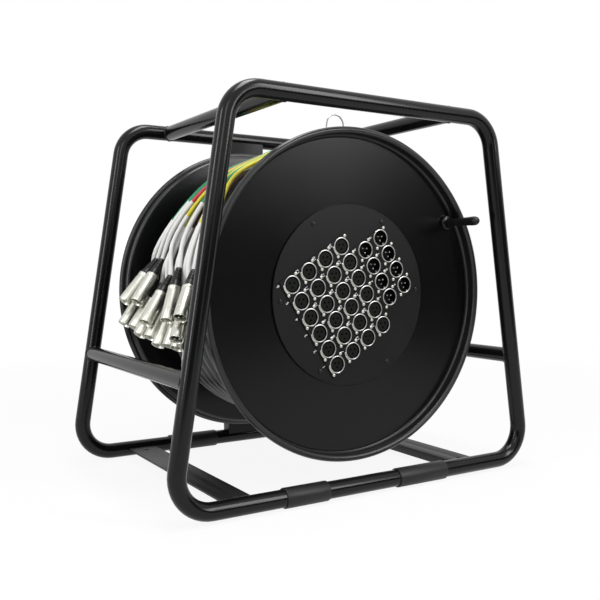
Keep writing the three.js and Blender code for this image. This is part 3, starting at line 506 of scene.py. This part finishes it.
# %% Floor
FLOOR_SIZE = 12
FLOOR_DROP = 0.5 * mm
clear_selection()
bpy.ops.mesh.primitive_plane_add(size=FLOOR_SIZE, location=(0, 0, -FLOOR_DROP))
floor = bpy.context.object
floor.name = "studio_floor"
floor_white = bpy.data.materials.new("studio_white")
floor_white.use_nodes = True
nodes, links = floor_white.node_tree.nodes, floor_white.node_tree.links
shader = nodes["Principled BSDF"]
shader.inputs["Base Color"].default_value = (0.88, 0.88, 0.88, 1)
shader.inputs["Roughness"].default_value = 0.7
glow = nodes.new("ShaderNodeEmission")
glow.inputs["Color"].default_value = (1, 1, 1, 1)
place = nodes.new("ShaderNodeTexCoord")
distance = nodes.new("ShaderNodeVectorMath")
distance.operation = "LENGTH"
links.new(place.outputs["Object"], distance.inputs[0])
fade = nodes.new("ShaderNodeMapRange")
fade.inputs["From Min"].default_value = 0.6
fade.inputs["From Max"].default_value = 1.7
fade.inputs["To Min"].default_value = 0.90
fade.inputs["To Max"].default_value = 1.0
links.new(distance.outputs["Value"], fade.inputs["Value"])
share = nodes.new("ShaderNodeMath")
share.operation = "MULTIPLY"
links.new(seen_directly(floor_white.node_tree), share.inputs[0])
links.new(fade.outputs["Result"], share.inputs[1])
blend = nodes.new("ShaderNodeMixShader")
links.new(share.outputs["Value"], blend.inputs["Fac"])
links.new(shader.outputs["BSDF"], blend.inputs[1])
links.new(glow.outputs["Emission"], blend.inputs[2])
links.new(blend.outputs["Shader"], nodes["Material Output"].inputs["Surface"])
floor.data.materials.append(floor_white)
print("floor ready")

# %% Lamps


def soft_lamp(name, place, target, width, height, power):
    clear_selection()
    aim = (Vector(target) - Vector(place)).to_track_quat("-Z", "Y").to_euler()
    bpy.ops.object.light_add(type="AREA", location=place, rotation=aim)
    lamp = bpy.context.object
    lamp.name = name
    lamp.data.shape = "RECTANGLE"
    lamp.data.size, lamp.data.size_y = width, height
    lamp.data.energy = power


soft_lamp("top", (-0.10, -0.22, 1.75), (0, -0.05, 0.3), 0.45, 1.1, 17)
soft_lamp("front_right", (0.96, -1.70, 1.30), (-0.03, -0.13, 0.42), 0.55, 1.35, 22)
soft_lamp("side_left", (-1.55, -0.25, 0.75), (0, 0, 0.28), 0.25, 1.1, 9)
soft_lamp("front_left", (-1.15, -1.70, 1.35), (-0.1, 0, 0.25), 0.45, 0.9, 5)
bpy.context.scene.view_settings.view_transform = "Standard"

# %% [markdown]
# ## Two black cards
# In a real studio black cards stand beside the camera, so that glossy black mirrors something
# dark and doesn't turn grey under the white surroundings. These two do the same. They exist only
# for mirrored rays: the camera doesn't see them, and they take no light from the object.

# %% Cards for the gloss to mirror
card_black = bpy.data.materials.new("card_black")
card_black.use_nodes = True
shader = card_black.node_tree.nodes["Principled BSDF"]
shader.inputs["Base Color"].default_value = (0.004, 0.004, 0.004, 1)
shader.inputs["Specular IOR Level"].default_value = 0.0
for side, place, turn, width, height in (("right", (1.05, -1.60, 0.31), 33, 2.2, 0.62),
                                         ("left", (-1.20, -1.95, 0.40), -33, 1.9, 0.80)):
    clear_selection()
    bpy.ops.mesh.primitive_plane_add(size=1, location=place, rotation=(math.pi / 2, 0, math.radians(turn)))
    card = bpy.context.object
    card.name = f"black_card_{side}"
    card.scale = (width, height, 1)
    settle(card)
    card.data.materials.append(card_black)
    card.visible_camera = False
    card.visible_diffuse = False
    card.visible_shadow = False
    print(card.name, [round(v, 3) for v in card.dimensions])

# %% [markdown]
# ## The bent tube loops
# Front and rear of the frame are the same closed loop of steel tube, wider at the floor than at
# the top. A tube bender works the same way as this cell: the round section starts in the middle
# of the bottom, runs straight to a bend, is swung round the bend's centre, and so on until it
# meets its own beginning, where the real one is welded.

# %% One loop
TUBE_RADIUS = 11.25 * mm
TUBE_HEIGHT = 13 * mm
LOOP_Y = 179.5 * mm
LOOP_RISE = 497.8 * mm
LOOP_TOP, LOOP_BOTTOM = 207.35 * mm, 285 * mm
BEND_RADIUS = 45 * mm


def bent_loop(y):
    clear_selection()
    here = Vector((0, 0, TUBE_HEIGHT))
    bpy.ops.mesh.primitive_circle_add(vertices=48, radius=TUBE_RADIUS, location=(0, y, TUBE_HEIGHT),
                                      rotation=(0, math.pi / 2, 0))
    loop = settle(bpy.context.object)
    bpy.ops.object.mode_set(mode="EDIT")
    bpy.ops.mesh.select_all(action="SELECT")
    top = TUBE_HEIGHT + LOOP_RISE
    corners = [(LOOP_BOTTOM, TUBE_HEIGHT), (LOOP_TOP, top), (-LOOP_TOP, top), (-LOOP_BOTTOM, TUBE_HEIGHT)]
    ways = []
    for i in range(4):
        (ax, az), (bx, bz) = corners[i - 1], corners[i]
        ways.append(Vector((bx - ax, 0, bz - az)).normalized())
    for i, (x, z) in enumerate(corners):
        inward, outward = ways[i], ways[(i + 1) % 4]
        turn = inward.angle(outward)
        bend_start = Vector((x, 0, z)) - inward * BEND_RADIUS * math.tan(turn / 2)
        bpy.ops.mesh.extrude_region_move(TRANSFORM_OT_translate={"value": bend_start - here})
        left = Vector((-inward.z, 0, inward.x))
        centre = bend_start + left * BEND_RADIUS + Vector((0, y, 0))
        bpy.ops.mesh.spin(steps=12, angle=turn, center=centre, axis=(0, 1, 0))
        here = Vector((x, 0, z)) + outward * BEND_RADIUS * math.tan(turn / 2)
    bpy.ops.mesh.extrude_region_move(TRANSFORM_OT_translate={"value": Vector((0, 0, TUBE_HEIGHT)) - here})
    turn_outwards(loop)
    return smooth(loop, 60)


for name, y in (("front_loop", -LOOP_Y), ("rear_loop", LOOP_Y)):
    loop = bent_loop(y)
    dress(loop, name, "frame", powder_coat, stands_for=[name.replace("loop", "frame_tube")],
          slot="black_paint")
    print(name, [round(v, 4) for v in loop.dimensions])

# %% [markdown]
# ## Cross tubes and their welds
# Straight tubes join the loops: two across the top, two lower down at the sides. The real ends
# are cut to a saddle so that they sit on the round of the loop. Here they run on into the loop,
# which hides their ends, and a weld bead is laid along the saddle line where the two tubes meet.

# %% Tubes across, with beads at both ends
TOP_CROSS_X = 134 * mm
TOP_CROSS_RADIUS = TUBE_RADIUS - 0.1 * mm
SIDE_CROSS_RADIUS = 11 * mm
SIDE_CROSS_RISE = 153.5 * mm
CROSS_END = LOOP_Y - 3 * mm
BEAD_RADIUS = 1.3 * mm
BEAD_POINTS = 40
SHALLOWEST = 1.5 * mm


def saddle_line(x, z, radius, way, run):
    """Where a tube along y meets a loop tube that runs along run, way -1 in front and 1 behind."""
    line = []
    for k in range(BEAD_POINTS):
        angle = 2 * math.pi * k / BEAD_POINTS
        dx, dz = radius * math.cos(angle), radius * math.sin(angle)
        off = dx * run.z - dz * run.x
        depth = math.sqrt(max(TUBE_RADIUS ** 2 - off ** 2, SHALLOWEST ** 2))
        line.append(Vector((x + dx, way * (LOOP_Y - depth), z + dz)))
    return line


def bead(line, radius):
    piece = cable(line, radius, 3)
    piece.data.splines[0].use_cyclic_u = True
    pick(piece)
    bpy.ops.object.convert(target="MESH")
    return bpy.context.object


lean = (LOOP_BOTTOM - LOOP_TOP) / LOOP_RISE
side_x = LOOP_BOTTOM - SIDE_CROSS_RISE * lean
for side, way_x in (("left", -1), ("right", 1)):
    leg = Vector((-way_x * lean, 0, 1)).normalized()
    top_run = Vector((1, 0, 0))
    crossings = [("top_cross", way_x * TOP_CROSS_X, TUBE_HEIGHT + LOOP_RISE, TOP_CROSS_RADIUS, top_run),
                 ("side_cross", way_x * side_x, TUBE_HEIGHT + SIDE_CROSS_RISE, SIDE_CROSS_RADIUS, leg)]
    for name, x, z, radius, run in crossings:
        tube = smooth(bar(radius, (x, -CROSS_END, z), (x, CROSS_END, z), 48), 60)
        dress(tube, f"{name}_{side}", "frame", powder_coat, stands_for=[f"{name}_tube_{side}"])
        for place, way in (("front", -1), ("rear", 1)):
            weld = bead(saddle_line(x, z, radius, way, run), BEAD_RADIUS)
            dress(smooth(weld, 60), f"{name}_weld_{side}_{place}", "frame", powder_coat)
print("cross tubes at x", round(side_x, 4), "and", TOP_CROSS_X)

# %% [markdown]
# ## Rails, upright and sleeves
# Two angle rails tie the bottom tubes together, a channel at the back carries the axle, and short
# rubber sleeves keep the frame off the floor. Rails and channel are sheet sections: their
# outline is drawn once and pushed along, the holes are cut, and every edge gets a small radius,
# because powder coat never lies on a sharp edge and the light catches the round. The upright
# shows as dark and as dull as the panel, so it gets the same coat.

# %% Base rails
RAIL_END = LOOP_Y - 10.9 * mm
RAIL_TOP = TUBE_HEIGHT + 2 * mm
RAIL_HOLE_X = 187 * mm
RAIL_HOLE_RADIUS = 3.75 * mm
RAIL_HOLE_INSET = 21 * mm


def base_rail(way):
    outline = [(166, 0), (166, -12), (169, -12), (169, -3), (208, -3), (208, 0)]
    points = [(way * x * mm, -RAIL_END, RAIL_TOP + z * mm) for x, z in outline]
    rail = pushed(points, (0, 2 * RAIL_END, 0))
    holes = []
    for end in (-1, 1):
        x, y = way * RAIL_HOLE_X, end * (RAIL_END - RAIL_HOLE_INSET)
        holes.append(bar(RAIL_HOLE_RADIUS, (x, y, RAIL_TOP - 8 * mm), (x, y, RAIL_TOP + 5 * mm), 24))
    cut_away(rail, *holes)
    round_edges(rail, 0.5 * mm)
    return smooth(rail)


for side, way in (("left", -1), ("right", 1)):
    dress(base_rail(way), f"rail_{side}", "frame", satin_coat, stands_for=[f"base_rail_{side}"])
print("rails", round(2 * RAIL_END, 4), "m long")

# %% Rear upright, and the axle that it carries
THREAD_RADIUS = 10 * mm
NUT_RADIUS, NUT_DEPTH, NUT_Y = 17 * mm, 13 * mm, 179.3 * mm
outline = [(-33, 169.5), (33, 169.5), (33, 190), (30, 190), (30, 172.5), (-30, 172.5), (-30, 190), (-33, 190)]
upright = pushed([(x * mm, y * mm, TUBE_HEIGHT) for x, y in outline], (0, 0, LOOP_RISE))
cut_away(upright, bar(THREAD_RADIUS + 0.3 * mm, (0, 160 * mm, AXLE), (0, 180 * mm, AXLE), 48))
round_edges(upright, 0.8 * mm, 3)
dress(smooth(upright), "upright_channel", "frame", panel_coat, stands_for=["rear_upright"])

thread = [(10 if k % 2 else 9.4, 186.5 + k * 0.5) for k in range(14)]
axle_piece = turned([(0, -59), (7, -59), (8, -58), (8, -43.3), (12.5, -43.3), (12.5, 133.6), (20, 133.6),
                     (20, 169.2), (10, 169.2), (10, 186), *thread, (9.2, 194), (8.6, 195), (0, 195)],
                    48, (0, 0, AXLE))
dress(axle_piece, "axle_bar", "frame", zinc, stands_for=["axle"], slot="zinc_steel")
clear_selection()
bpy.ops.mesh.primitive_cylinder_add(vertices=6, radius=NUT_RADIUS, depth=NUT_DEPTH,
                                    rotation=(math.pi / 2, 0, 0), location=(0, NUT_Y, AXLE))
hexagon = settle(bpy.context.object)
cut_away(hexagon, bar(THREAD_RADIUS + 0.2 * mm, (0, 170 * mm, AXLE), (0, 190 * mm, AXLE), 48))
round_edges(hexagon, 0.9 * mm, 3)
dress(smooth(hexagon), "axle_nut", "frame", zinc, stands_for=["axle_nut_rear"])
print("upright and axle done")

# %% Foot sleeves
SLEEVES = {"front_left": (-104, 64), "front_right": (84, 84), "rear_left": (-96, 82), "rear_right": (96, 82)}
for place, (centre, length) in SLEEVES.items():
    half = length / 2
    sleeve = turned([(11.3, -half), (12.3, -half), (12.8, 0.4 - half), (13, 1.2 - half), (13, half - 1.2),
                     (12.8, half - 0.4), (12.3, half), (11.3, half)], 48, closed=True)
    sleeve.rotation_euler = (0, 0, math.pi / 2)
    sleeve.location = (centre * mm, -LOOP_Y if "front" in place else LOOP_Y, TUBE_HEIGHT)
    dress(settle(sleeve), f"sleeve_{place}", "frame", sleeve_rubber, stands_for=[f"foot_sleeve_{place}"])
print("sleeves", len(SLEEVES))

# %% [markdown]
# ## The flanges
# A flange is a disc of 2 mm sheet whose edge is turned up to a short wall and rolled to a bead, so
# that nobody cuts a hand on it. It is round all over, so its cross-section is drawn as one closed
# outline and spun about the axle. The bead takes most of the points, because its highlight is
# the bright line that draws the drum's outline in the photograph.

# %% Flanges
RIM_STARTS = 215.6 * mm
BEAD_CENTRE = (221.3, 14.5)
ROLL_RADIUS = 4.5


def flange(inside, way, opening):
    section = [(opening, 0), (213.5, 0), (215.5, 0.3), (217.5, 1.1), (219, 2.6), (219.5, 4.5)]
    for degrees in range(245, 551, 20):
        angle = math.radians(degrees)
        section.append((BEAD_CENTRE[0] + ROLL_RADIUS * math.cos(angle),
                        BEAD_CENTRE[1] + ROLL_RADIUS * math.sin(angle)))
    section += [(217.5, 6), (217, 4.4), (216, 3), (214.5, 2.2), (212.5, 2), (opening + 0.4, 2),
                (opening, 1.6)]
    profile = [(radius, inside + way * depth) for radius, depth in section]
    return turned(profile, 180, (0, 0, AXLE), closed=True)


for name, inside, way, opening in (("front_flange", -128, -1, 109.5), ("rear_flange", 142, 1, 24)):
    disc = flange(inside, way, opening)
    dress(smooth(disc, 40), f"{name}_sheet", "drum", sheet_coat, rim_painted_highlight, stands_for=[name],
          slot="black_paint")
    # The faces of the rim, beyond RIM_STARTS, get the second material: the lighter, glossier copy of the
    # sheet paint, which paints a highlight on the rim.
    pick(disc)
    bpy.ops.object.mode_set(mode="EDIT")
    bpy.ops.mesh.select_all(action="DESELECT")
    bpy.ops.object.mode_set(mode="OBJECT")
    for face in disc.data.polygons:
        face.select = math.hypot(face.center.x, face.center.z - AXLE) > RIM_STARTS
    bpy.ops.object.mode_set(mode="EDIT")
    disc.active_material_index = 1
    bpy.ops.object.material_slot_assign()
    bpy.ops.object.mode_set(mode="OBJECT")
    print(name, [round(v, 4) for v in disc.dimensions])

# %% [markdown]
# ## The winding
# The cable lies in layers. Only the top two show, so they are one long line: the lower layer comes
# up from below at the rear flange, runs to the front and climbs there, the upper layer comes back
# beside itself, and the last turn crosses over to the boot. The line comes from a formula, a
# radius and a place along the axle for every few degrees of turn, and gets the cable's round
# section.

# %% The centre line of the cable
CABLE_RADIUS = 10.5
WOUND_RADIUS = 178.9
PITCH = 21.6
FIRST_TURN_Y = -116.9
LOWER_RADIUS = 157.6
CLIMB = 70
LAST = 9 * 360
LIFT_STARTS, LIFT_ENDS = LAST - 110, LAST - 50
CROSSED = LAST + 45
LOWER_START = -CLIMB - int(11.4 * 360)
SINKING = 180
SUNK = 18.7


def ease(low, high, value):
    share = min(1, max(0, (value - low) / (high - low)))
    return share * share * (3 - 2 * share)


def wound_point(degrees):
    radius = LOWER_RADIUS + (WOUND_RADIUS - LOWER_RADIUS) * ease(-CLIMB, 0, degrees)
    radius += (RIDING_RADIUS / mm - WOUND_RADIUS) * ease(LIFT_STARTS, LIFT_ENDS, degrees)
    radius -= SUNK * (1 - ease(LOWER_START - SINKING, LOWER_START, degrees))
    if degrees < -CLIMB:
        y = FIRST_TURN_Y - PITCH * (max(degrees, LOWER_START) + CLIMB) / 360
    else:
        y = FIRST_TURN_Y + PITCH * max(0, min(degrees, LIFT_ENDS)) / 360
    y += (BOOT_Y / mm - y) * ease(LIFT_ENDS, CROSSED, degrees)
    angle = math.radians(degrees)
    return Vector((radius * math.cos(angle) * mm, y * mm, radius * math.sin(angle) * mm + AXLE))


line = [wound_point(degrees) for degrees in range(LOWER_START - SINKING, LAST + 61, 6)]
line.append(boot_foot)
winding = cable(line, CABLE_RADIUS * mm, 5)
winding.data.name = "winding_line"
print("cable that shows", round(length_of(line), 2), "m")

# %% From line to mesh, with the layers below it
BARREL_OUTSIDE, LAYERS_OUTSIDE = 118.5, 156
FRONT_CHEEK, REAR_CHEEK = -127.5, 141.5
pick(winding)
bpy.ops.object.convert(target="MESH")
dress(smooth(bpy.context.object, 60), "winding_turns", "drum", jacket, stands_for=["multicore_winding"],
      slot="cable_jacket")
below = turned([(BARREL_OUTSIDE, FRONT_CHEEK), (LAYERS_OUTSIDE, FRONT_CHEEK), (LAYERS_OUTSIDE, REAR_CHEEK),
                (BARREL_OUTSIDE, REAR_CHEEK)], 96, (0, 0, AXLE), closed=True)
dress(below, "layers_below", "drum", jacket, stands_for=["winding_core"])

# %% [markdown]
# ## The breakout boot
# Where the multicore ends and the tails begin, the real cable wears a thick shrunk rubber boot.
# It is turned from a profile, a narrow neck on the cable and soft shoulders, and swung to lie
# along the line in which the cable leaves the winding.

# %% The boot
boot = turned([(9, 0), (12.4, 0), (13, 0.8), (13, 13), (13.4, 14.4), (14.4, 15.6), (15, 17.5), (15, 34),
               (14.7, 35), (15, 36), (15, 56), (14.6, 58.4), (13.4, 60), (9, 60), (9, 57), (0, 57)], 48)
boot.matrix_world = Matrix.Translation(boot_foot + boot_forward * 0.1 * mm) @ \
    boot_forward.to_track_quat("Y", "Z").to_matrix().to_4x4()
dress(settle(boot), "boot", "drum", sleeve_rubber, stands_for=["breakout_boot"])
print("boot", [round(v, 4) for v in boot.dimensions])

# %% [markdown]
# ## The connector panel
# This is the piece that takes the most work: a round plate with a grid of sockets that is turned
# well away from upright. Female sockets have a bright ring, a black contact block with three
# holes and a latch; male sockets have a bright ring, a dark well and three pins. Each kind is
# made once, upright at the origin, out of plates, rings and blocks, and then copied to its places.

# %% The panel's own frame: sockets upright, front towards -y
PANEL_TURN = math.radians(123.25)
PANEL_REAR = -130.3
PANEL_THICKNESS = 3
PLATE_FRONT = -4.6
COLUMN_PITCH, ROW_PITCH = 26, 31
TOP_ROW = 71.4
WELL_RADIUS = 11 * mm
panel_frame = Matrix.Translation((0, PANEL_REAR * mm, AXLE)) @ Matrix.Rotation(-PANEL_TURN, 4, "Y")


def on_panel(x, z, y=0.0):
    return panel_frame @ Matrix.Translation((x * mm, y * mm, z * mm))


plate = turned([(0, 0), (123.4, 0), (124, -0.5), (124, -2.4), (123.3, -3), (0, -3)], 180)
plate.matrix_world = panel_frame
settle(plate)
places = []
for row in range(6):
    columns = range(6) if row < 4 else range(1, 5)
    for column in columns:
        places.append((COLUMN_PITCH * (column - 2.5), TOP_ROW - ROW_PITCH * row, row < 4))
wells = []
for x, z, is_female in places:
    well = bar(WELL_RADIUS, (0, -8 * mm, 0), (0, 3 * mm, 0), 32)
    well.matrix_world = on_panel(x, z)
    wells.append(settle(well))
cut_away(plate, fuse(*wells))
dress(smooth(plate), "panel_plate", "drum", panel_coat, stands_for=["connector_panel"], slot="black_paint")
print("panel with", len(places), "wells")

# %% Parts that both kinds of socket share
PLATE_SIZE = (25.4 * mm, 1.56 * mm, 30.4 * mm)
PLATE_MIDDLE = (PLATE_FRONT + 0.8) * mm
SCREW_PLACES = ((-9.1, 12.2), (9.1, -12.2))


def socket_base():
    """Flange plate with its round hole, and the well behind it."""
    clear_selection()
    bpy.ops.mesh.primitive_cube_add(size=1, location=(0, PLATE_MIDDLE, 0))
    base = bpy.context.object
    base.scale = PLATE_SIZE
    settle(base)
    bpy.ops.object.mode_set(mode="EDIT")
    bpy.ops.mesh.select_all(action="SELECT")
    bpy.ops.mesh.bevel(offset=0.25 * mm, segments=2)
    bpy.ops.object.mode_set(mode="OBJECT")
    cut_away(base, bar(10.6 * mm, (0, -8 * mm, 0), (0, 2 * mm, 0), 48))
    wall = turned([(10.55, PLATE_FRONT + 0.3), (10.55, 4.4), (0, 4.4), (0, 5.4), (10.9, 5.4),
                   (10.9, PLATE_FRONT + 0.3)], 40, closed=True)
    base.data.materials.append(panel_coat)
    wall.data.materials.append(dark_well)
    return [base, smooth(wall)]


def socket_ring():
    ring = turned([(10.5, PLATE_FRONT), (10.7, PLATE_FRONT - 0.45), (11.2, PLATE_FRONT - 0.75),
                   (11.8, PLATE_FRONT - 0.6), (12.1, PLATE_FRONT - 0.2), (12.1, PLATE_FRONT + 0.1),
                   (10.5, PLATE_FRONT + 0.1)], 56, closed=True)
    ring.data.materials.append(bright_ring)
    return ring


def socket_screws():
    """Two countersunk screws with a cross cut into them."""
    screws = []
    for x, z in SCREW_PLACES:
        head = turned([(0, -0.9), (1.2, -0.8), (2.0, -0.4), (2.3, 0), (0, 0)], 24)
        cross = []
        for size in ((2.4, 0.5), (0.5, 2.4)):
            clear_selection()
            bpy.ops.mesh.primitive_cube_add(size=1, location=(0, -0.8 * mm, 0))
            slit = bpy.context.object
            slit.scale = (size[0] * mm, 0.8 * mm, size[1] * mm)
            cross.append(settle(slit))
        cut_away(head, *cross)
        head.location = (x * mm, PLATE_FRONT * mm, z * mm)
        settle(head)
        head.data.materials.clear()
        head.data.materials.append(nickel)
        screws.append(smooth(head))
    return screws


print("socket parts ready")

# %% The female socket, the male socket and the latch
CONTACT_CIRCLE = 3.9
FIRST_CONTACT = 30


def crescent(inner, outer, low, high, near, far):
    """A solid between two arcs above the ring, from one depth to another."""
    sweep = [math.radians(low + (high - low) * k / 8) for k in range(9)]
    points = [(outer * mm * math.cos(a), near * mm, outer * mm * math.sin(a)) for a in sweep]
    points += [(inner * mm * math.cos(a), near * mm, inner * mm * math.sin(a)) for a in reversed(sweep)]
    return pushed(points, (0, (far - near) * mm, 0))


def latch_pocket():
    """What is cut from the plate, so that there is room for the tab when it is pressed."""
    return crescent(12.12, 14.4, 60.5, 119.5, PLATE_FRONT - 2, -2.9)


def female_socket():
    base, wall = socket_base()
    cut_away(base, latch_pocket())
    block = turned([(0, PLATE_FRONT + 0.6), (8.7, PLATE_FRONT + 0.6), (9.2, PLATE_FRONT + 1.1), (9.2, 5),
                    (0, 5)], 48)
    cut_away(block, *[bar(1.45 * mm, (x, -7 * mm, z), (x, 1 * mm, z), 20)
                      for x, z in three_around(CONTACT_CIRCLE, FIRST_CONTACT)])
    block.data.materials.clear()
    block.data.materials.append(insert_plastic)
    return fuse(base, wall, smooth(block), socket_ring(), *socket_screws())


def male_socket():
    pins = []
    for x, z in three_around(CONTACT_CIRCLE, FIRST_CONTACT):
        pin = turned([(0, -3.4), (0.7, -3.1), (1.2, -2.2), (1.2, 5), (0, 5)], 16)
        pin.location = (x, 0, z)
        settle(pin)
        pin.data.materials.append(bright_ring)
        pins.append(pin)
    key = bar(1.3 * mm, (-9.6 * mm, -3.8 * mm, 0), (-9.6 * mm, 4.4 * mm, 0), 16)
    key.data.materials.append(bright_ring)
    return fuse(*socket_base(), *pins, key, socket_ring(), *socket_screws())


def latch_tab():
    """The crescent that is pressed: it stands proud of its pocket and has rounded edges."""
    tab = crescent(12.25, 14.2, 62, 118, PLATE_FRONT - 0.8, PLATE_FRONT + 0.2)
    round_edges(tab, 0.3 * mm, 2)
    return smooth(tab)


female_pattern, male_pattern, latch_pattern = female_socket(), male_socket(), latch_tab()
latch_pattern.data.materials.append(nickel)
print("female", len(female_pattern.data.polygons), "male", len(male_pattern.data.polygons), "faces")

# %% Thirty-two sockets and twenty-four latches
counts = {True: 0, False: 0}
for x, z, is_female in places:
    counts[is_female] += 1
    kind = "female" if is_female else "male"
    socket = copy_to(female_pattern if is_female else male_pattern, on_panel(x, z))
    socket.name = f"{kind}_socket_{counts[is_female]:02d}"
    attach(socket, "drum")
    if is_female:
        tab = copy_to(latch_pattern, on_panel(x, z))
        node = f"latch_{counts[True]:02d}"
        tab.name = node + "_tab"
        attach(tab, node)
        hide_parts(node)
for pattern in (female_pattern, male_pattern, latch_pattern):
    bpy.data.objects.remove(pattern)
print("sockets", counts)

# %% [markdown]
# ## Numbers and screws of the panel
# Every socket has its channel number at its upper right, printed in white. A text object is
# turned into a mesh, laid just above the surface, and joined with the others to one piece. The
# numbers of the top row are above their plates, on the panel itself. Six black screws near its
# edge hold the panel.

# %% Channel numbers
NUMBER_SIZE = 6.4 * mm
NUMBER_ASIDE = 9.6
RISE_ON_PLATE, ON_PLATE = 15.2, PLATE_FRONT - 0.04
RISE_ON_PANEL, ON_PANEL = 18.5, -PANEL_THICKNESS - 0.04


def number(text, x, z, y):
    clear_selection()
    bpy.ops.object.text_add()
    words = bpy.context.object
    words.data.body = text
    words.data.size = NUMBER_SIZE
    words.data.align_x = "CENTER"
    words.data.align_y = "CENTER"
    words.data.extrude = 0.03 * mm
    pick(words)
    bpy.ops.object.convert(target="MESH")
    words = bpy.context.object
    words.matrix_world = on_panel(x, z, y) @ Matrix.Rotation(math.pi / 2, 4, "X")
    return settle(words)


counts = {True: 0, False: 0}
numbers = []
for x, z, is_female in places:
    counts[is_female] += 1
    rise, depth = (RISE_ON_PANEL, ON_PANEL) if z == TOP_ROW else (RISE_ON_PLATE, ON_PLATE)
    numbers.append(number(str(counts[is_female]), x + NUMBER_ASIDE, z + rise, depth))
dress(fuse(*numbers), "channel_numbers", "drum", white_print)
print("numbers", len(numbers))

# %% Panel screws
SCREW_CIRCLE = 113.1 * mm
FIRST_SCREW = 123.2
screws = []
for k in range(6):
    angle = math.radians(FIRST_SCREW - 60 * k)
    x, z = SCREW_CIRCLE * math.cos(angle), SCREW_CIRCLE * math.sin(angle)
    screws.append(turned([(0, -1.9), (1.5, -1.7), (2.8, -1.1), (3.3, 0), (0, 0)], 24,
                         (x, (PANEL_REAR - PANEL_THICKNESS) * mm, AXLE + z)))
dress(smooth(fuse(*screws)), "panel_screws", "drum", black_plastic)
print("panel screws", len(screws))

# %% [markdown]
# ## Crank peg and wire eye
# The drum is wound by a peg near its rim: a boss on the flange, a pin, and a grip that turns on
# the pin. A wire eye stands up behind the top of the flange, for a strap round the plugs.
# The grip is turned from a profile that swells towards its end, and the eye is bent wire.

# %% Crank
CRANK = (174.4 * mm, 0, AXLE + 103.4 * mm)
boss = turned([(0, -130.3), (11.5, -130.3), (11.5, -133.9), (11.1, -134.9), (9.8, -136), (9, -136.3),
               (3.5, -136.3), (3.5, -188), (0, -188)], 40, CRANK)
dress(boss, "crank_boss_turned", "drum", powder_coat, stands_for=["crank_boss"])
grip = turned([(3.9, -187.9), (3.9, -136.7), (5.1, -136.7), (5.5, -137.2), (5.4, -146), (5.6, -160),
               (6.1, -176), (6.5, -186), (6.45, -189), (5.9, -192), (4.6, -194.2), (2.4, -195), (0, -195),
               (0, -187.9)], 40, CRANK)
dress(grip, "crank_grip_turned", "crank_grip", black_plastic, stands_for=["crank_grip"])
print("crank", [round(v, 4) for v in grip.dimensions])

# %% Wire eye
EYE_X, EYE_Y = -23.2 * mm, -126.7 * mm
EYE_HALF_WIDTH = 13.6 * mm
EYE_FOOT, EYE_CENTRE = AXLE + 200 * mm, AXLE + 228.8 * mm
WIRE_RADIUS = 1 * mm
eye_line = [Vector((EYE_X - EYE_HALF_WIDTH, EYE_Y, EYE_FOOT))]
for k in range(17):
    angle = math.pi - math.pi * k / 16
    eye_line.append(Vector((EYE_X + EYE_HALF_WIDTH * math.cos(angle), EYE_Y,
                            EYE_CENTRE + EYE_HALF_WIDTH * math.sin(angle))))
eye_line.append(Vector((EYE_X + EYE_HALF_WIDTH, EYE_Y, EYE_FOOT)))
pick(cable(eye_line, WIRE_RADIUS, 4))
bpy.ops.object.convert(target="MESH")
dress(smooth(bpy.context.object, 60), "wire_eye", "drum", bright_ring, stands_for=["anchor_eye"],
      slot="bright_wire")
print("eye done")

# %% [markdown]
# ## Inner pieces
# The barrel, the bushes and the nut inside the hub are right as they came, so they only get
# their finish.

# %% Finishes for the pieces that stay
kept_nodes = {"core_barrel": powder_coat, "bush_front": bronze, "bush_rear": bronze, "axle_nut_front": zinc}
for node, material in kept_nodes.items():
    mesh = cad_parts[node].data
    mesh.materials.clear()
    mesh.materials.append(material)
print("kept nodes", len(kept_nodes))
